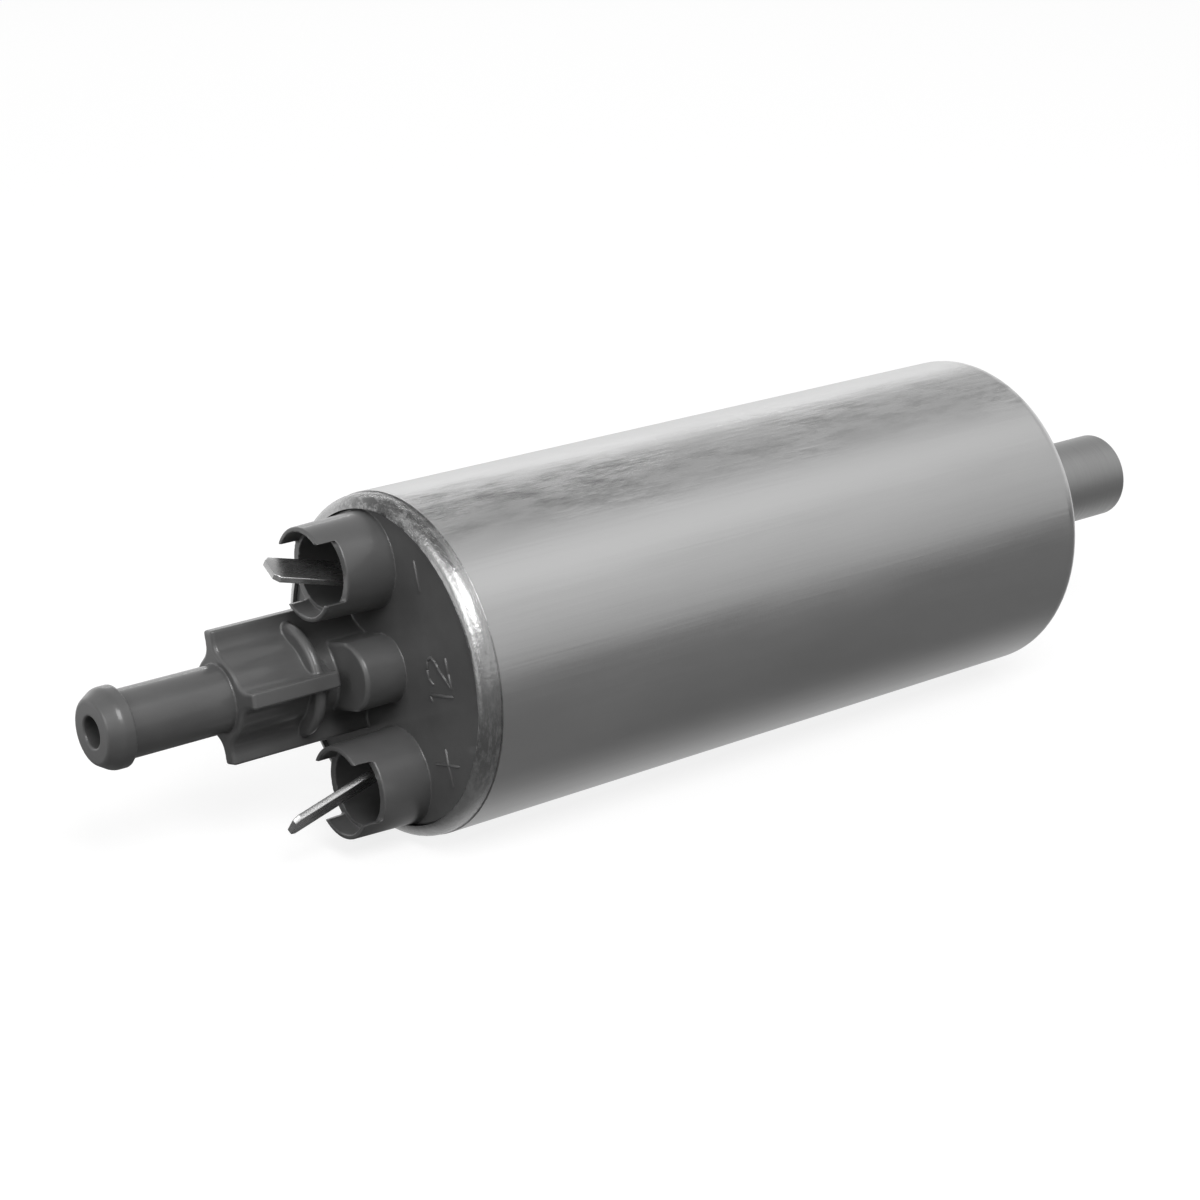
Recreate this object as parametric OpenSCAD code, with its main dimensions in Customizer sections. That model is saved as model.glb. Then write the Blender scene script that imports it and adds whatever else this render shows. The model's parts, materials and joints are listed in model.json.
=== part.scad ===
// Inline electric fuel pump for an engine bay or underbody fuel line.
// X runs along the pump from the outlet fitting to the inlet tube, Z is up,
// and the origin is on the barrel's axis, halfway along the barrel.

/* [Barrel] */
// Outside diameter of the barrel
barrel_d = 43; // [40:0.5:50]
// Length of the barrel over its rolled rim and its floor
barrel_len = 101; // [98:0.5:120]
// Wall of the barrel tube
barrel_wall = 1.1; // [0.8:0.1:1.4]
// How far the rolled rim reaches in from the outside of the barrel
rim_reach = 1.75; // [1.6:0.05:2.2]
// Outer radius of the roll at the rim
rim_roll = 1.6; // [1:0.1:1.6]
// Length of the rolled band behind the rim
band_len = 2.4; // [1.8:0.1:4]
// Depth of the step behind the rolled band
band_step = 0.12; // [0.05:0.01:0.25]
// Radius of the edge at the closed end
rear_round = 2.4; // [1:0.1:3]
// Thickness of the barrel's floor
floor_t = 1.5; // [1:0.1:2]

/* [Outlet cover] */
// Turn of the cover about the pump's axis, in degrees
cover_clock = -14; // [-30:1:30]
// How far the cover's face lies behind the rim
face_inset = 0.5; // [0.2:0.1:1]
// Thickness of the cover's face
face_t = 4.5; // [3.5:0.1:5]
// Length of the cover inside the barrel, behind the rim
cover_len = 10; // [9.5:0.1:14]
// Wall between the hollow behind the face and the seal's groove
cover_wall = 1.8; // [1.4:0.1:2.6]

/* [Outlet fitting] */
// Distance from the pump's axis to the outlet's axis
outlet_offset = 6.8; // [6.4:0.1:7.2]
// Offset of the outlet's axis towards the upper terminal
outlet_rise = 0.35; // [0:0.05:0.6]
// Outside diameter of the outlet stub
stub_d = 8.4; // [7.6:0.1:9]
// Bore of the outlet stub
stub_bore_d = 3.8; // [3:0.1:5]
// Reach of the outlet tip in front of the rim
outlet_reach = 36.1; // [32:0.1:44]
// Diameter of the hose bead
bead_d = 10; // [9.6:0.1:11]
// Length of the hose bead with its nose
bead_len = 3.3; // [2.8:0.1:4.5]
// Length of the bead's conical nose
nose_len = 1.7; // [1:0.1:2.2]
// Diameter of the flat face at the tip
tip_d = 7.9; // [6.8:0.1:8.6]
// Outside diameter of the valve housing between its ribs
valve_d = 10.5; // [10:0.1:11]
// Reach of the valve housing in front of the rim
valve_reach = 19; // [17:0.2:22]
// Number of ribs on the valve housing
rib_count = 4; // [3:1:6]
// Height of the rib tips above the outlet's axis
rib_r = 8.25; // [7.4:0.05:8.8]
// Thickness of a rib
rib_t = 2; // [1:0.1:2.4]
// Fillet between a rib and the housing
rib_fillet = 1.6; // [0.8:0.1:2]
// Gap between the boss's face and the end of the rib that points at the boss
rib_gap = 1.5; // [0.6:0.1:2.5]
// Reach of the collar ring in front of the rim
collar_reach = 8.75; // [7.5:0.05:11]
// Outside diameter of the collar ring
collar_d = 14.4; // [13:0.1:15]
// Thickness of the collar ring
collar_t = 1.5; // [1.2:0.1:2.4]

/* [Boss beside the fitting] */
// Radius of the round side of the boss
boss_r = 4.25; // [3.6:0.05:4.6]
// Distance of the boss's centre from the pump's axis, away from the outlet
boss_offset = 0.4; // [0:0.1:1]
// Reach of the boss in front of the rim
boss_reach = 5.2; // [4:0.1:7]

/* [Terminal shrouds] */
// Gap between a shroud's foot and the rolled rim
shroud_margin = 0.25; // [0.15:0.05:0.6]
// Outside diameter at a shroud's mouth
shroud_d = 11.6; // [11:0.1:12]
// Growth of a shroud's radius towards its foot
shroud_flare = 0.3; // [0:0.05:0.4]
// Reach of a shroud in front of the rim
shroud_reach = 8.75; // [7:0.1:12]
// Wall at the mouth
shroud_wall = 0.6; // [0.5:0.05:0.8]
// Extra wall below the notches
shroud_step = 0.45; // [0.2:0.05:0.6]
// Depth of the two notches
notch_depth = 2.6; // [1.5:0.1:4]
// Width of the two notches
notch_w = 7.3; // [5:0.1:8]
// Depth of the socket's floor behind the cover's face
socket_sink = 0.2; // [0.1:0.1:0.8]

/* [Blade terminals] */
// Width of a blade
blade_w = 4.2; // [2.8:0.1:4.8]
// Thickness of a blade
blade_t = 0.8; // [0.5:0.05:1]
// Length of the upper blade from the socket's floor
upper_blade_len = 14.3; // [11:0.1:17]
// Length of the lower blade from the socket's floor
lower_blade_len = 17.2; // [11:0.1:19]
// Chamfer at the blade's tip
blade_chamfer = 0.7; // [0.4:0.1:1.2]
// Outward lean of a blade, in degrees
blade_lean = 14.5; // [0:0.5:16]
// Turn of a blade about its own length, in degrees
blade_turn = 34; // [0:1:45]
// Distance of a blade's foot from its shroud's middle, towards the pump's axis
foot_inset = 2; // [0:0.1:2.2]
// Width of the leg that runs inside the pump
leg_w = 2.4; // [1.5:0.1:3]

/* [Seals] */
// Thickness of the sealing rings
seal_t = 1.7; // [1.5:0.05:1.9]
// Distance of the front seal's groove from the rim
seal_from_rim = 6; // [5.4:0.1:6.8]
// Distance of the rear seal's groove from the floor
seal_from_floor = 3; // [2:0.1:5]

/* [Inlet] */
// Outside diameter of the inlet tube
tube_d = 11.8; // [10:0.1:12]
// Bore of the inlet tube
tube_bore_d = 9.2; // [7:0.1:9.6]
// Reach of the inlet tube beyond the barrel's floor
tube_reach = 26.3; // [18:0.1:32]
// Rounding of the tube's outer end
tube_round = 0.6; // [0.2:0.05:0.65]
// Step of the collar that fills the hole in the barrel's floor
tube_collar = 0.6; // [0.5:0.1:1.2]
// Length of the inlet cover inside the barrel
inlet_len = 8.5; // [7.5:0.1:10]
// Radius of the inlet chamber
chamber_r = 9.5; // [9:0.1:11]
// Depth of the inlet chamber
chamber_depth = 4; // [3:0.1:4.5]
// Thickness of the inlet screen
screen_t = 0.8; // [0.5:0.1:1]
// Width of a hole in the inlet screen
mesh_hole = 1.3; // [1:0.1:1.5]
// Distance between the holes in the inlet screen
mesh_pitch = 2; // [1.9:0.1:3]
// Width of the groove that leads overflow back to the chamber
groove_width = 3; // [2:0.1:4]
// Depth of that groove
groove_depth = 2.5; // [1.5:0.1:3.5]

/* [Pump section] */
// Teeth of the inner rotor
rotor_teeth = 6; // [5:1:6]
// Wall of the ring round the outer rotor, before the rotor's axis is offset
ring_wall = 6.3; // [5.9:0.1:7]
// Wall of the outer rotor outside its lobes' centres
rotor_wall = 1.5; // [1.2:0.1:2]
// Distance between the two rotors' axes, as a share of the lobe circle's radius
offset_share = 0.104; // [0.09:0.002:0.104]
// Radius of one lobe, as a share of the lobe circle's radius
lobe_share = 0.36; // [0.32:0.005:0.365]
// Length of the rotors' ring
ring_len = 8; // [5:0.1:10]
// Running gap of the rotors, on their ends and their flanks
rotor_gap = 0.06; // [0.04:0.01:0.08]
// Thickness of the inlet port plate
inlet_plate_t = 8; // [7.5:0.1:9]
// Thickness of the outlet port plate
outlet_plate_t = 7; // [6.5:0.1:8]
// Width of the kidney ports
port_w = 3.2; // [2:0.1:3.4]
// Angle that a kidney port covers, in degrees
port_angle = 126; // [80:1:130]
// Number of screws through the plates
screw_count = 4; // [3:1:4]
// Diameter of the screws
screw_d = 2.5; // [2:0.1:3]
// Distance of the screws' axes from the plates' edge
screw_margin = 2.7; // [2.5:0.1:2.9]
// Width of a lug of the drive coupling
lug_w = 2; // [1.4:0.1:2]

/* [Overpressure valve] */
// Radius of the ball
ball_r = 1.6; // [1.3:0.05:1.7]
// Radius of the passage that the ball closes
relief_hole_r = 1; // [0.7:0.05:1.1]
// Distance of the valve's axis from the plates' edge
relief_margin = 3.5; // [3.3:0.1:3.7]
// Thickness of the plug behind the spring
plug_t = 1.5; // [1:0.1:2]

/* [Motor] */
// Diameter of the motor shaft
shaft_d = 5; // [4:0.1:5.4]
// Thickness of the magnets
magnet_t = 6.7; // [6:0.1:7.6]
// Room between the windings' ends and what lies next to them
crown_gap = 1.2; // [0.8:0.1:8]
// Number of slots in the lamination stack
slot_count = 8; // [7:1:9]
// Height of the windings' ends beyond the stack
crown_len = 6; // [4:0.1:6.4]
// Air gap between the stack and the magnets
air_gap = 0.6; // [0.4:0.05:1]
// Length of the magnets beyond the stack, at each end
magnet_over = 3; // [0:0.5:5]
// Angle that a magnet covers, in degrees
magnet_angle = 122; // [90:1:126]
// Sheet thickness of the magnet clips
clip_t = 0.6; // [0.4:0.05:0.8]
// Outside radius of the commutator
commutator_r = 8; // [7.4:0.1:8.2]
// Length of the commutator
commutator_len = 8.6; // [7:0.1:9]
// Number of commutator bars
bar_count = 8; // [7:1:12]
// Outside radius of the bearings
bearing_r = 4.5; // [4:0.1:4.8]
// Length of the bearings
bearing_len = 4.5; // [3.5:0.1:4.8]
// Thickness of the thrust washers
washer_t = 0.7; // [0.4:0.05:0.9]

/* [Brushes] */
// Side of a square brush
brush_w = 5.06; // [4:0.02:5.4]
// Length of a brush
brush_len = 5.4; // [4:0.1:6]
// Wall of a brass brush guide
guide_wall = 0.5; // [0.4:0.05:0.6]
// Distance from the rim to the middle of the brushes
brush_from_rim = 20; // [19.5:0.1:20.4]
// Thickness of the brush holder's plate
holder_t = 3.5; // [3:0.1:4]
// Radius of the vents through that plate
vent_r = 2.4; // [1.6:0.1:2.6]
// Radius of the circle through the vents
vent_circle_r = 12.5; // [11.6:0.1:13]

/* [Check valve] */
// Diameter of the valve's bore
valve_bore_d = 7.2; // [6.6:0.1:7.4]
// Radius of the opening in the valve's seat
seat_hole_r = 1.8; // [1.2:0.05:2]
// Thickness of the valve's seat
seat_t = 3; // [2.4:0.1:3.6]
// Thickness of the poppet's head
poppet_t = 1.2; // [0.8:0.1:1.6]
// Radius of the poppet's stem
stem_r = 1.2; // [0.8:0.05:1.5]
// Length of the valve's spring
valve_spring_len = 9; // [7:0.1:11]

/* [Springs] */
// Wire diameter of the springs
wire_d = 0.5; // [0.3:0.05:0.55]
// Turns of the valve spring
valve_turns = 5; // [4:1:7]
// Turns of a brush spring
brush_turns = 3; // [2:1:4]
// Turns of the overpressure spring
relief_turns = 3; // [2:1:3]

/* [Hidden] */
$fn = 96;
// Overlap that keeps cuts and joins clean
eps = 0.5;
// Extra radius of a cutter that makes a fillet, so that it crosses the walls it runs out on
overrun = 0.01;
// Gap of pieces that slide into the barrel
slip = 0.1;
// Gap of pieces pushed into a hole
push = 0.05;
// Radial clearance of a turning or sliding piece
running = 0.05;
// Gap between a moving piece and the face it rests near
rest_gap = 0.3;
barrel_r = barrel_d / 2;
bore_r = barrel_r - barrel_wall;
lip_r = barrel_r - rim_reach;
inside_r = bore_r - slip;
rim_x = -barrel_len / 2;
end_x = barrel_len / 2;
floor_x = end_x - floor_t;
// Outlet cover, from the rim backwards
face_x = rim_x + face_inset;
hollow_x = face_x + face_t;
cover_end_x = rim_x + cover_len;
groove_w = seal_t + 0.6;
groove_r = bore_r - seal_t - slip;
hollow_r = groove_r - cover_wall;
outlet_tip_x = rim_x - outlet_reach;
bead_back_x = outlet_tip_x + bead_len;
valve_front_x = rim_x - valve_reach;
socket_x = face_x + socket_sink;
shroud_x = rim_x - shroud_reach;
shroud_offset = lip_r - shroud_margin - shroud_flare - shroud_d / 2;
// Check valve, from the hollow forwards
seat_x = hollow_x - seat_t;
poppet_face_x = seat_x - rest_gap;
poppet_back_x = poppet_face_x - poppet_t;
ledge_x = poppet_back_x - valve_spring_len;
valve_r = valve_bore_d / 2;
valve_lift = 2;
// Pump section, from the floor forwards
inlet_x = floor_x - inlet_len;
inlet_plate_x = inlet_x - inlet_plate_t;
ring_x = inlet_plate_x - ring_len;
outlet_plate_x = ring_x - outlet_plate_t;
outer_rotor_r = inside_r - ring_wall;
pocket_r = outer_rotor_r + running;
lobe_circle_r = outer_rotor_r - rotor_wall;
rotor_offset = lobe_circle_r * offset_share;
lobe_r = lobe_circle_r * lobe_share;
root_r = lobe_circle_r + 2 * rotor_offset - lobe_r + slip;
port_out_r = root_r - rest_gap;
port_in_r = port_out_r - port_w;
screw_circle_r = inside_r - screw_margin;
relief_circle_r = inside_r - relief_margin;
tube_r = tube_d / 2;
collar_r = tube_r + tube_collar;
// Motor
shaft_r = shaft_d / 2;
plate_x = cover_end_x;
plate_end_x = plate_x + holder_t;
brush_x = rim_x + brush_from_rim;
guide_in = brush_w + 2 * running;
guide_out = guide_in + 2 * guide_wall;
guide_front_x = brush_x - guide_out / 2;
guide_foot = commutator_r + 1;
guide_top = inside_r - 1.4;
commutator_x = brush_x - commutator_len / 2 + 0.5;
magnet_in_r = inside_r - magnet_t;
core_r = magnet_in_r - air_gap;
crown_front_x = commutator_x + commutator_len;
core_x = crown_front_x + crown_gap + crown_len;
core_end_x = outlet_plate_x - washer_t - slip - crown_gap - crown_len;
core_len = core_end_x - core_x;
magnet_len = core_len + 2 * magnet_over;
magnet_x = core_x - magnet_over;
shaft_x = plate_end_x - bearing_len;
shaft_end_x = inlet_plate_x - 1;
coupling_x = outlet_plate_x + bearing_len + slip;
lug_r = shaft_r + 0.8 * lug_w;
brush_tip = commutator_r + slip;
brush_back = brush_tip + brush_len;
screw_head_t = 1.6;
screw_span = outlet_plate_t + ring_len + inlet_plate_t * 0.7;

// Turns a profile of (radius, x) points about the X axis
module turned() {
    rotate([0, 90, 0])
        rotate_extrude()
            children();
}

// Extrudes a (y, z) drawing along X, from x0 over a length
module along_x(x0, len) {
    translate([x0, 0, 0])
        rotate([90, 0, 90])
            linear_extrude(len)
                children();
}

// A round bar along X
module rod(x0, len, r) {
    translate([x0, 0, 0])
        rotate([0, 90, 0])
            cylinder(h = len, r = r);
}

// A cone along X
module cone(x0, len, r0, r1) {
    translate([x0, 0, 0])
        rotate([0, 90, 0])
            cylinder(h = len, r1 = r0, r2 = r1);
}

// A washer or tube along X
module ring(x0, len, r_out, r_in) {
    difference() {
        rod(x0, len, r_out);
        rod(x0 - eps, len + 2 * eps, r_in);
    }
}

// A sealing ring whose outside just reaches the barrel's bore
module o_ring(x0) {
    turned()
        translate([bore_r - slip / 2 - seal_t / 2, x0 + groove_w / 2])
            circle(d = seal_t);
}

// A pie slice centred on an angle, in the drawing plane
module slice(angle, span, r) {
    steps = 12;
    far = r / cos(span / steps / 2);
    polygon(concat([[0, 0]], [
        for (i = [0 : steps])
            far * [cos(angle - span / 2 + span * i / steps),
                   sin(angle - span / 2 + span * i / steps)]
    ]));
}

// A band of a ring between two radii
module sector(angle, span, r_out, r_in) {
    intersection() {
        difference() {
            circle(r = r_out);
            circle(r = r_in);
        }
        slice(angle, span, r_out + 1);
    }
}

// Turns what belongs to the outlet cover and the brush gear
module clocked() {
    rotate([cover_clock, 0, 0])
        children();
}

// Puts a piece on the upper or the lower terminal's side
module on_side(side) {
    clocked()
        mirror([0, 0, side < 0 ? 1 : 0])
            children();
}

// Points of one ring of a coil's wire, at an angle along the coil
function coil_ring(mean_r, wire_r, rise, a, sides) = [
    for (k = [0 : sides - 1])
        let (c = 360 * k / sides, out = mean_r + wire_r * cos(c))
            [out * cos(a), out * sin(a), rise + wire_r * sin(c)]
];

// A coil spring that stands on the drawing plane
module coil(mean_r, wire_r, turns, len) {
    sides = 6;
    rings = turns * 8;
    pts = [
        for (i = [0 : rings])
            each coil_ring(mean_r, wire_r,
                wire_r + (len - 2 * wire_r) * i / rings, 45 * i, sides)
    ];
    sheath = [
        for (i = [0 : rings - 1], k = [0 : sides - 1])
            let (n = (k + 1) % sides, a = i * sides, b = a + sides)
                each [[a + k, b + k, a + n], [a + n, b + k, b + n]]
    ];
    first = [for (k = [1 : sides - 2]) [0, k, k + 1]];
    last = [
        for (k = [1 : sides - 2])
            [rings * sides, rings * sides + k + 1, rings * sides + k]
    ];
    polyhedron(pts, concat(sheath, first, last));
}

// Least gap between neighbouring turns of a spring
function coil_gap(turns, len) = (len - wire_d) / turns - wire_d;

module housing_shell() {
    color("silver")
        turned()
            difference() {
                union() {
                    translate([0, rim_x + rim_roll])
                        square([barrel_r - band_step, band_len - rim_roll + eps]);
                    translate([0, rim_x])
                        square([barrel_r - band_step - rim_roll, barrel_len]);
                    translate([barrel_r - band_step - rim_roll, rim_x + rim_roll])
                        circle(r = rim_roll);
                    translate([0, rim_x + band_len])
                        square([barrel_r, barrel_len - band_len - rear_round]);
                    translate([0, end_x - rear_round - eps])
                        square([barrel_r - rear_round, rear_round + eps]);
                    translate([barrel_r - rear_round, end_x - rear_round])
                        circle(r = rear_round);
                }
                translate([0, rim_x - eps])
                    square([lip_r, barrel_wall + 2 * eps]);
                translate([0, rim_x + barrel_wall])
                    square([bore_r, floor_x - rim_x - barrel_wall]);
                translate([0, floor_x - eps])
                    square([collar_r + slip, floor_t + 2 * eps]);
                translate([-barrel_d, rim_x - eps])
                    square([barrel_d, barrel_len + 2 * eps]);
            }
}

// Section of the valve housing with its ribs and their fillets
module valve_section() {
    r = valve_d / 2;
    reach = sqrt(pow(r + rib_fillet, 2) - pow(rib_t / 2 + rib_fillet, 2));
    circle(r = r);
    for (i = [0 : rib_count - 1])
        rotate(i * 360 / rib_count) {
            translate([0, -rib_t / 2])
                square([rib_r, rib_t]);
            for (s = [0, 1])
                mirror([0, s])
                    difference() {
                        polygon([[0, 0], [reach, 0], [reach, rib_t / 2 + rib_fillet]]);
                        translate([reach, rib_t / 2 + rib_fillet])
                            circle(r = rib_fillet + overrun);
                    }
        }
}

module outlet_fitting() {
    translate([0, outlet_offset, outlet_rise]) {
        difference() {
            along_x(valve_front_x, face_x - valve_front_x + eps)
                valve_section();
            along_x(rim_x - boss_reach - rib_gap, boss_reach + rib_gap + face_inset + 2 * eps)
                difference() {
                    translate([-barrel_r, -rib_t / 2 - rib_fillet])
                        square([barrel_r, rib_t + 2 * rib_fillet]);
                    circle(r = valve_d / 2);
                }
        }
        rod(bead_back_x - eps, valve_front_x - bead_back_x + 2 * eps, stub_d / 2);
        cone(outlet_tip_x, nose_len, tip_d / 2, bead_d / 2);
        rod(outlet_tip_x + nose_len, bead_len - nose_len, bead_d / 2);
        turned()
            translate([collar_d / 2 - collar_t / 2, rim_x - collar_reach])
                circle(d = collar_t);
        ring(rim_x - collar_reach - collar_t / 2, collar_t,
            collar_d / 2 - collar_t / 2, valve_d / 2 - eps);
    }
}

module boss() {
    along_x(rim_x - boss_reach, boss_reach + face_inset + eps) {
        translate([-boss_offset, 0])
            circle(r = boss_r);
        translate([-boss_offset, -boss_r])
            square([outlet_offset - valve_d / 4, 2 * boss_r]);
    }
}

module shroud() {
    translate([0, 0, shroud_offset])
        cone(shroud_x, face_x - shroud_x + eps, shroud_d / 2, shroud_d / 2 + shroud_flare);
}

module socket() {
    mouth_r = shroud_d / 2 - shroud_wall;
    translate([0, 0, shroud_offset]) {
        rod(shroud_x - eps, notch_depth + eps, mouth_r);
        rod(shroud_x, socket_x - shroud_x, mouth_r - shroud_step);
        translate([shroud_x - eps, -shroud_d, -notch_w / 2])
            cube([notch_depth + eps, 2 * shroud_d, notch_w]);
        translate([0, 0, -foot_inset])
            rotate([blade_turn, 0, 0])
                translate([socket_x - eps, -leg_w / 2 - push, -blade_t / 2 - push])
                    cube([hollow_x - socket_x + 2 * eps, leg_w + 2 * push, blade_t + 2 * push]);
    }
}

module outlet_cover() {
    color("dimgray")
        clocked()
            difference() {
                union() {
                    rod(face_x, barrel_wall + eps, lip_r - push);
                    rod(rim_x + barrel_wall, cover_end_x - rim_x - barrel_wall, inside_r);
                    outlet_fitting();
                    boss();
                    for (s = [0, 1])
                        mirror([0, 0, s])
                            shroud();
                }
                rod(hollow_x, cover_end_x - hollow_x + eps, hollow_r);
                ring(rim_x + seal_from_rim, groove_w, barrel_r, groove_r);
                for (s = [0, 1])
                    mirror([0, 0, s])
                        socket();
                translate([0, outlet_offset, outlet_rise]) {
                    rod(ledge_x, hollow_x - ledge_x + eps, valve_r);
                    rod(outlet_tip_x - eps, ledge_x - outlet_tip_x + 2 * eps, stub_bore_d / 2);
                }
                translate([0, -boss_offset - 0.4, 0])
                    rod(rim_x - boss_reach + 2, hollow_x - rim_x + boss_reach, boss_r * 0.45);
            }
}

// Blade in its own frame, pointing along -X
module blade(len) {
    half = blade_w / 2;
    translate([0, 0, -blade_t / 2])
        linear_extrude(blade_t)
            polygon([
                [-0.8, -half], [-0.8, half],
                [-len + blade_chamfer, half], [-len, half - blade_chamfer],
                [-len, -half + blade_chamfer], [-len + blade_chamfer, -half]
            ]);
}

module terminal(side, len) {
    color("lightgray")
        on_side(side)
            translate([socket_x, 0, shroud_offset - foot_inset]) {
                rotate([0, blade_lean, 0])
                    rotate([blade_turn, 0, 0])
                        blade(len);
                rotate([blade_turn, 0, 0])
                    translate([-1.1, -leg_w / 2, -blade_t / 2])
                        cube([guide_front_x - socket_x + 1.1, leg_w, blade_t]);
            }
}

module terminal_negative() {
    terminal(1, upper_blade_len);
}

module terminal_positive() {
    terminal(-1, lower_blade_len);
}

module cover_seal() {
    color("black")
        o_ring(rim_x + seal_from_rim);
}

module inlet_seal() {
    color("black")
        o_ring(floor_x - seal_from_floor - groove_w);
}

module inlet_cover() {
    color("lightgray")
        difference() {
            union() {
                rod(inlet_x, inlet_len, inside_r);
                rod(floor_x - eps, floor_t + eps - 2 * slip, collar_r);
                rod(floor_x - eps, floor_t + tube_reach + eps - tube_round, tube_r);
                rod(end_x + tube_reach - tube_round - eps, tube_round + eps, tube_r - tube_round);
                turned()
                    translate([tube_r - tube_round, end_x + tube_reach - tube_round])
                        circle(r = tube_round);
            }
            ring(floor_x - seal_from_floor - groove_w, groove_w, barrel_r, groove_r);
            rod(inlet_x - eps, chamber_depth + eps, chamber_r);
            rod(inlet_x - eps, screen_t + slip + eps, chamber_r + 1.5);
            rod(inlet_x, barrel_len, tube_bore_d / 2);
            translate([inlet_x - eps, -groove_width / 2, -relief_circle_r - groove_width / 2])
                cube([groove_depth + eps, groove_width, relief_circle_r - chamber_r + groove_width]);
        }
}

module inlet_screen() {
    reach = chamber_r - 1.5;
    steps = floor(reach / mesh_pitch);
    color("gainsboro")
        along_x(inlet_x + slip, screen_t)
            difference() {
                circle(r = chamber_r + 1.5 - push);
                for (i = [-steps : steps], k = [-steps : steps])
                    if (norm([i, k]) * mesh_pitch < reach)
                        translate([i * mesh_pitch, k * mesh_pitch])
                            square(mesh_hole, center = true);
            }
}

// Angle of one screw about the pump's axis
function screw_angle(i) = 45 + 360 * i / screw_count;

// A round hole through the plates for each screw
module at_screws() {
    for (i = [0 : screw_count - 1])
        rotate([screw_angle(i), 0, 0])
            translate([0, screw_circle_r, 0])
                children();
}

module at_relief() {
    translate([0, 0, -relief_circle_r])
        children();
}

module pump_inlet_plate() {
    color("lightslategray")
        difference() {
            rod(inlet_plate_x, inlet_plate_t, inside_r);
            along_x(inlet_plate_x - eps, inlet_plate_t + 2 * eps)
                sector(180, port_angle, port_out_r, port_in_r);
            along_x(inlet_plate_x - eps, 1.2 + eps)
                sector(0, port_angle, port_out_r, port_in_r);
            rod(inlet_plate_x - eps, inlet_plate_t / 2 + eps, shaft_r + rest_gap);
            at_screws()
                rod(inlet_plate_x - eps, inlet_plate_t * 0.7 + 2 * eps, screw_d / 2 + push);
            at_relief()
                rod(inlet_plate_x - eps, inlet_plate_t + 2 * eps, ball_r + rest_gap);
        }
}

module pump_ring() {
    color("slategray")
        difference() {
            rod(ring_x, ring_len, inside_r);
            translate([0, 0, rotor_offset])
                rod(ring_x - eps, ring_len + 2 * eps, pocket_r);
            at_screws()
                rod(ring_x - eps, ring_len + 2 * eps, screw_d / 2 + push);
            at_relief()
                rod(ring_x - eps, ring_len + 2 * eps, relief_hole_r);
        }
}

module outer_rotor() {
    lobes = rotor_teeth + 1;
    color("darkgray")
        translate([0, 0, rotor_offset])
            along_x(ring_x + rotor_gap, ring_len - 2 * rotor_gap)
                difference() {
                    circle(r = outer_rotor_r, $fn = 180);
                    difference() {
                        circle(r = root_r);
                        for (i = [0 : lobes - 1])
                            rotate(90 + 360 * i / lobes)
                                translate([lobe_circle_r, 0])
                                    circle(r = lobe_r);
                    }
                }
}

// Point on the inner rotor's flank: the path of a lobe's centre, which is a
// trochoid with one lobe more than the rotor has teeth, moved in by the lobe
function flank(t) =
    let (
        n = rotor_teeth + 1,
        path = lobe_circle_r * [cos(t), sin(t)] + rotor_offset * [cos(n * t), sin(n * t)],
        way = lobe_circle_r * [-sin(t), cos(t)] + n * rotor_offset * [-sin(n * t), cos(n * t)]
    )
    path + (lobe_r + rotor_gap) * [-way[1], way[0]] / norm(way);

// Spaces the flank's points closer together in the roots, where it bends most
function spread(s) = s + 46 / rotor_teeth * sin(rotor_teeth * s);

module inner_rotor() {
    points = rotor_teeth * 36;
    color("gray")
        difference() {
            along_x(ring_x + rotor_gap, ring_len - 2 * rotor_gap)
                rotate(90)
                    polygon([for (i = [0 : points - 1]) flank(spread(360 * i / points))]);
            rod(ring_x - eps, ring_len + 2 * eps, shaft_r + push);
            for (s = [-1, 1])
                lug(s, push, eps);
        }
}

// Lug of the drive coupling, or with a margin the pocket that it drives
module lug(s, margin, more) {
    side = lug_w + 2 * margin;
    translate([ring_x - more, -side / 2, s * lug_r - side / 2])
        cube([ring_len / 2 + more + margin, side, side]);
}

module drive_coupling() {
    color("ivory") {
        ring(coupling_x, ring_x - coupling_x - slip, lug_r + 1.6, shaft_r + push);
        for (s = [-1, 1])
            lug(s, 0, slip + eps);
    }
}

module pump_outlet_plate() {
    color("lightslategray")
        difference() {
            rod(outlet_plate_x, outlet_plate_t, inside_r);
            along_x(outlet_plate_x - eps, outlet_plate_t + 2 * eps)
                sector(0, port_angle, port_out_r, port_in_r);
            along_x(ring_x - 1.2, 1.2 + eps)
                sector(180, port_angle, port_out_r, port_in_r);
            rod(outlet_plate_x - eps, bearing_len + eps, bearing_r + push);
            rod(outlet_plate_x + bearing_len - eps, outlet_plate_t, lug_r + 2);
            at_screws()
                rod(outlet_plate_x - eps, outlet_plate_t + 2 * eps, screw_d / 2 + push);
            at_relief()
                rod(outlet_plate_x - eps, outlet_plate_t + 2 * eps, relief_hole_r);
        }
}

module pump_screws() {
    color("silver")
        at_screws()
            difference() {
                union() {
                    rod(outlet_plate_x - screw_head_t, screw_head_t, screw_d * 0.85);
                    rod(outlet_plate_x - eps, screw_span + eps, screw_d / 2);
                }
                translate([outlet_plate_x - screw_head_t - eps, 0, 0])
                    rotate([0, 90, 0])
                        cylinder(h = screw_head_t * 0.6 + eps, r = screw_d * 0.4, $fn = 6);
            }
}

// Where the ball's centre lies when it closes its passage
ball_x = inlet_plate_x + sqrt(pow(ball_r, 2) - pow(relief_hole_r, 2)) + 0.1;
relief_spring_x = ball_x + ball_r + push;
relief_plug_x = inlet_x - plug_t;

module relief_ball() {
    color("silver")
        at_relief()
            translate([ball_x, 0, 0])
                sphere(r = ball_r);
}

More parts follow.
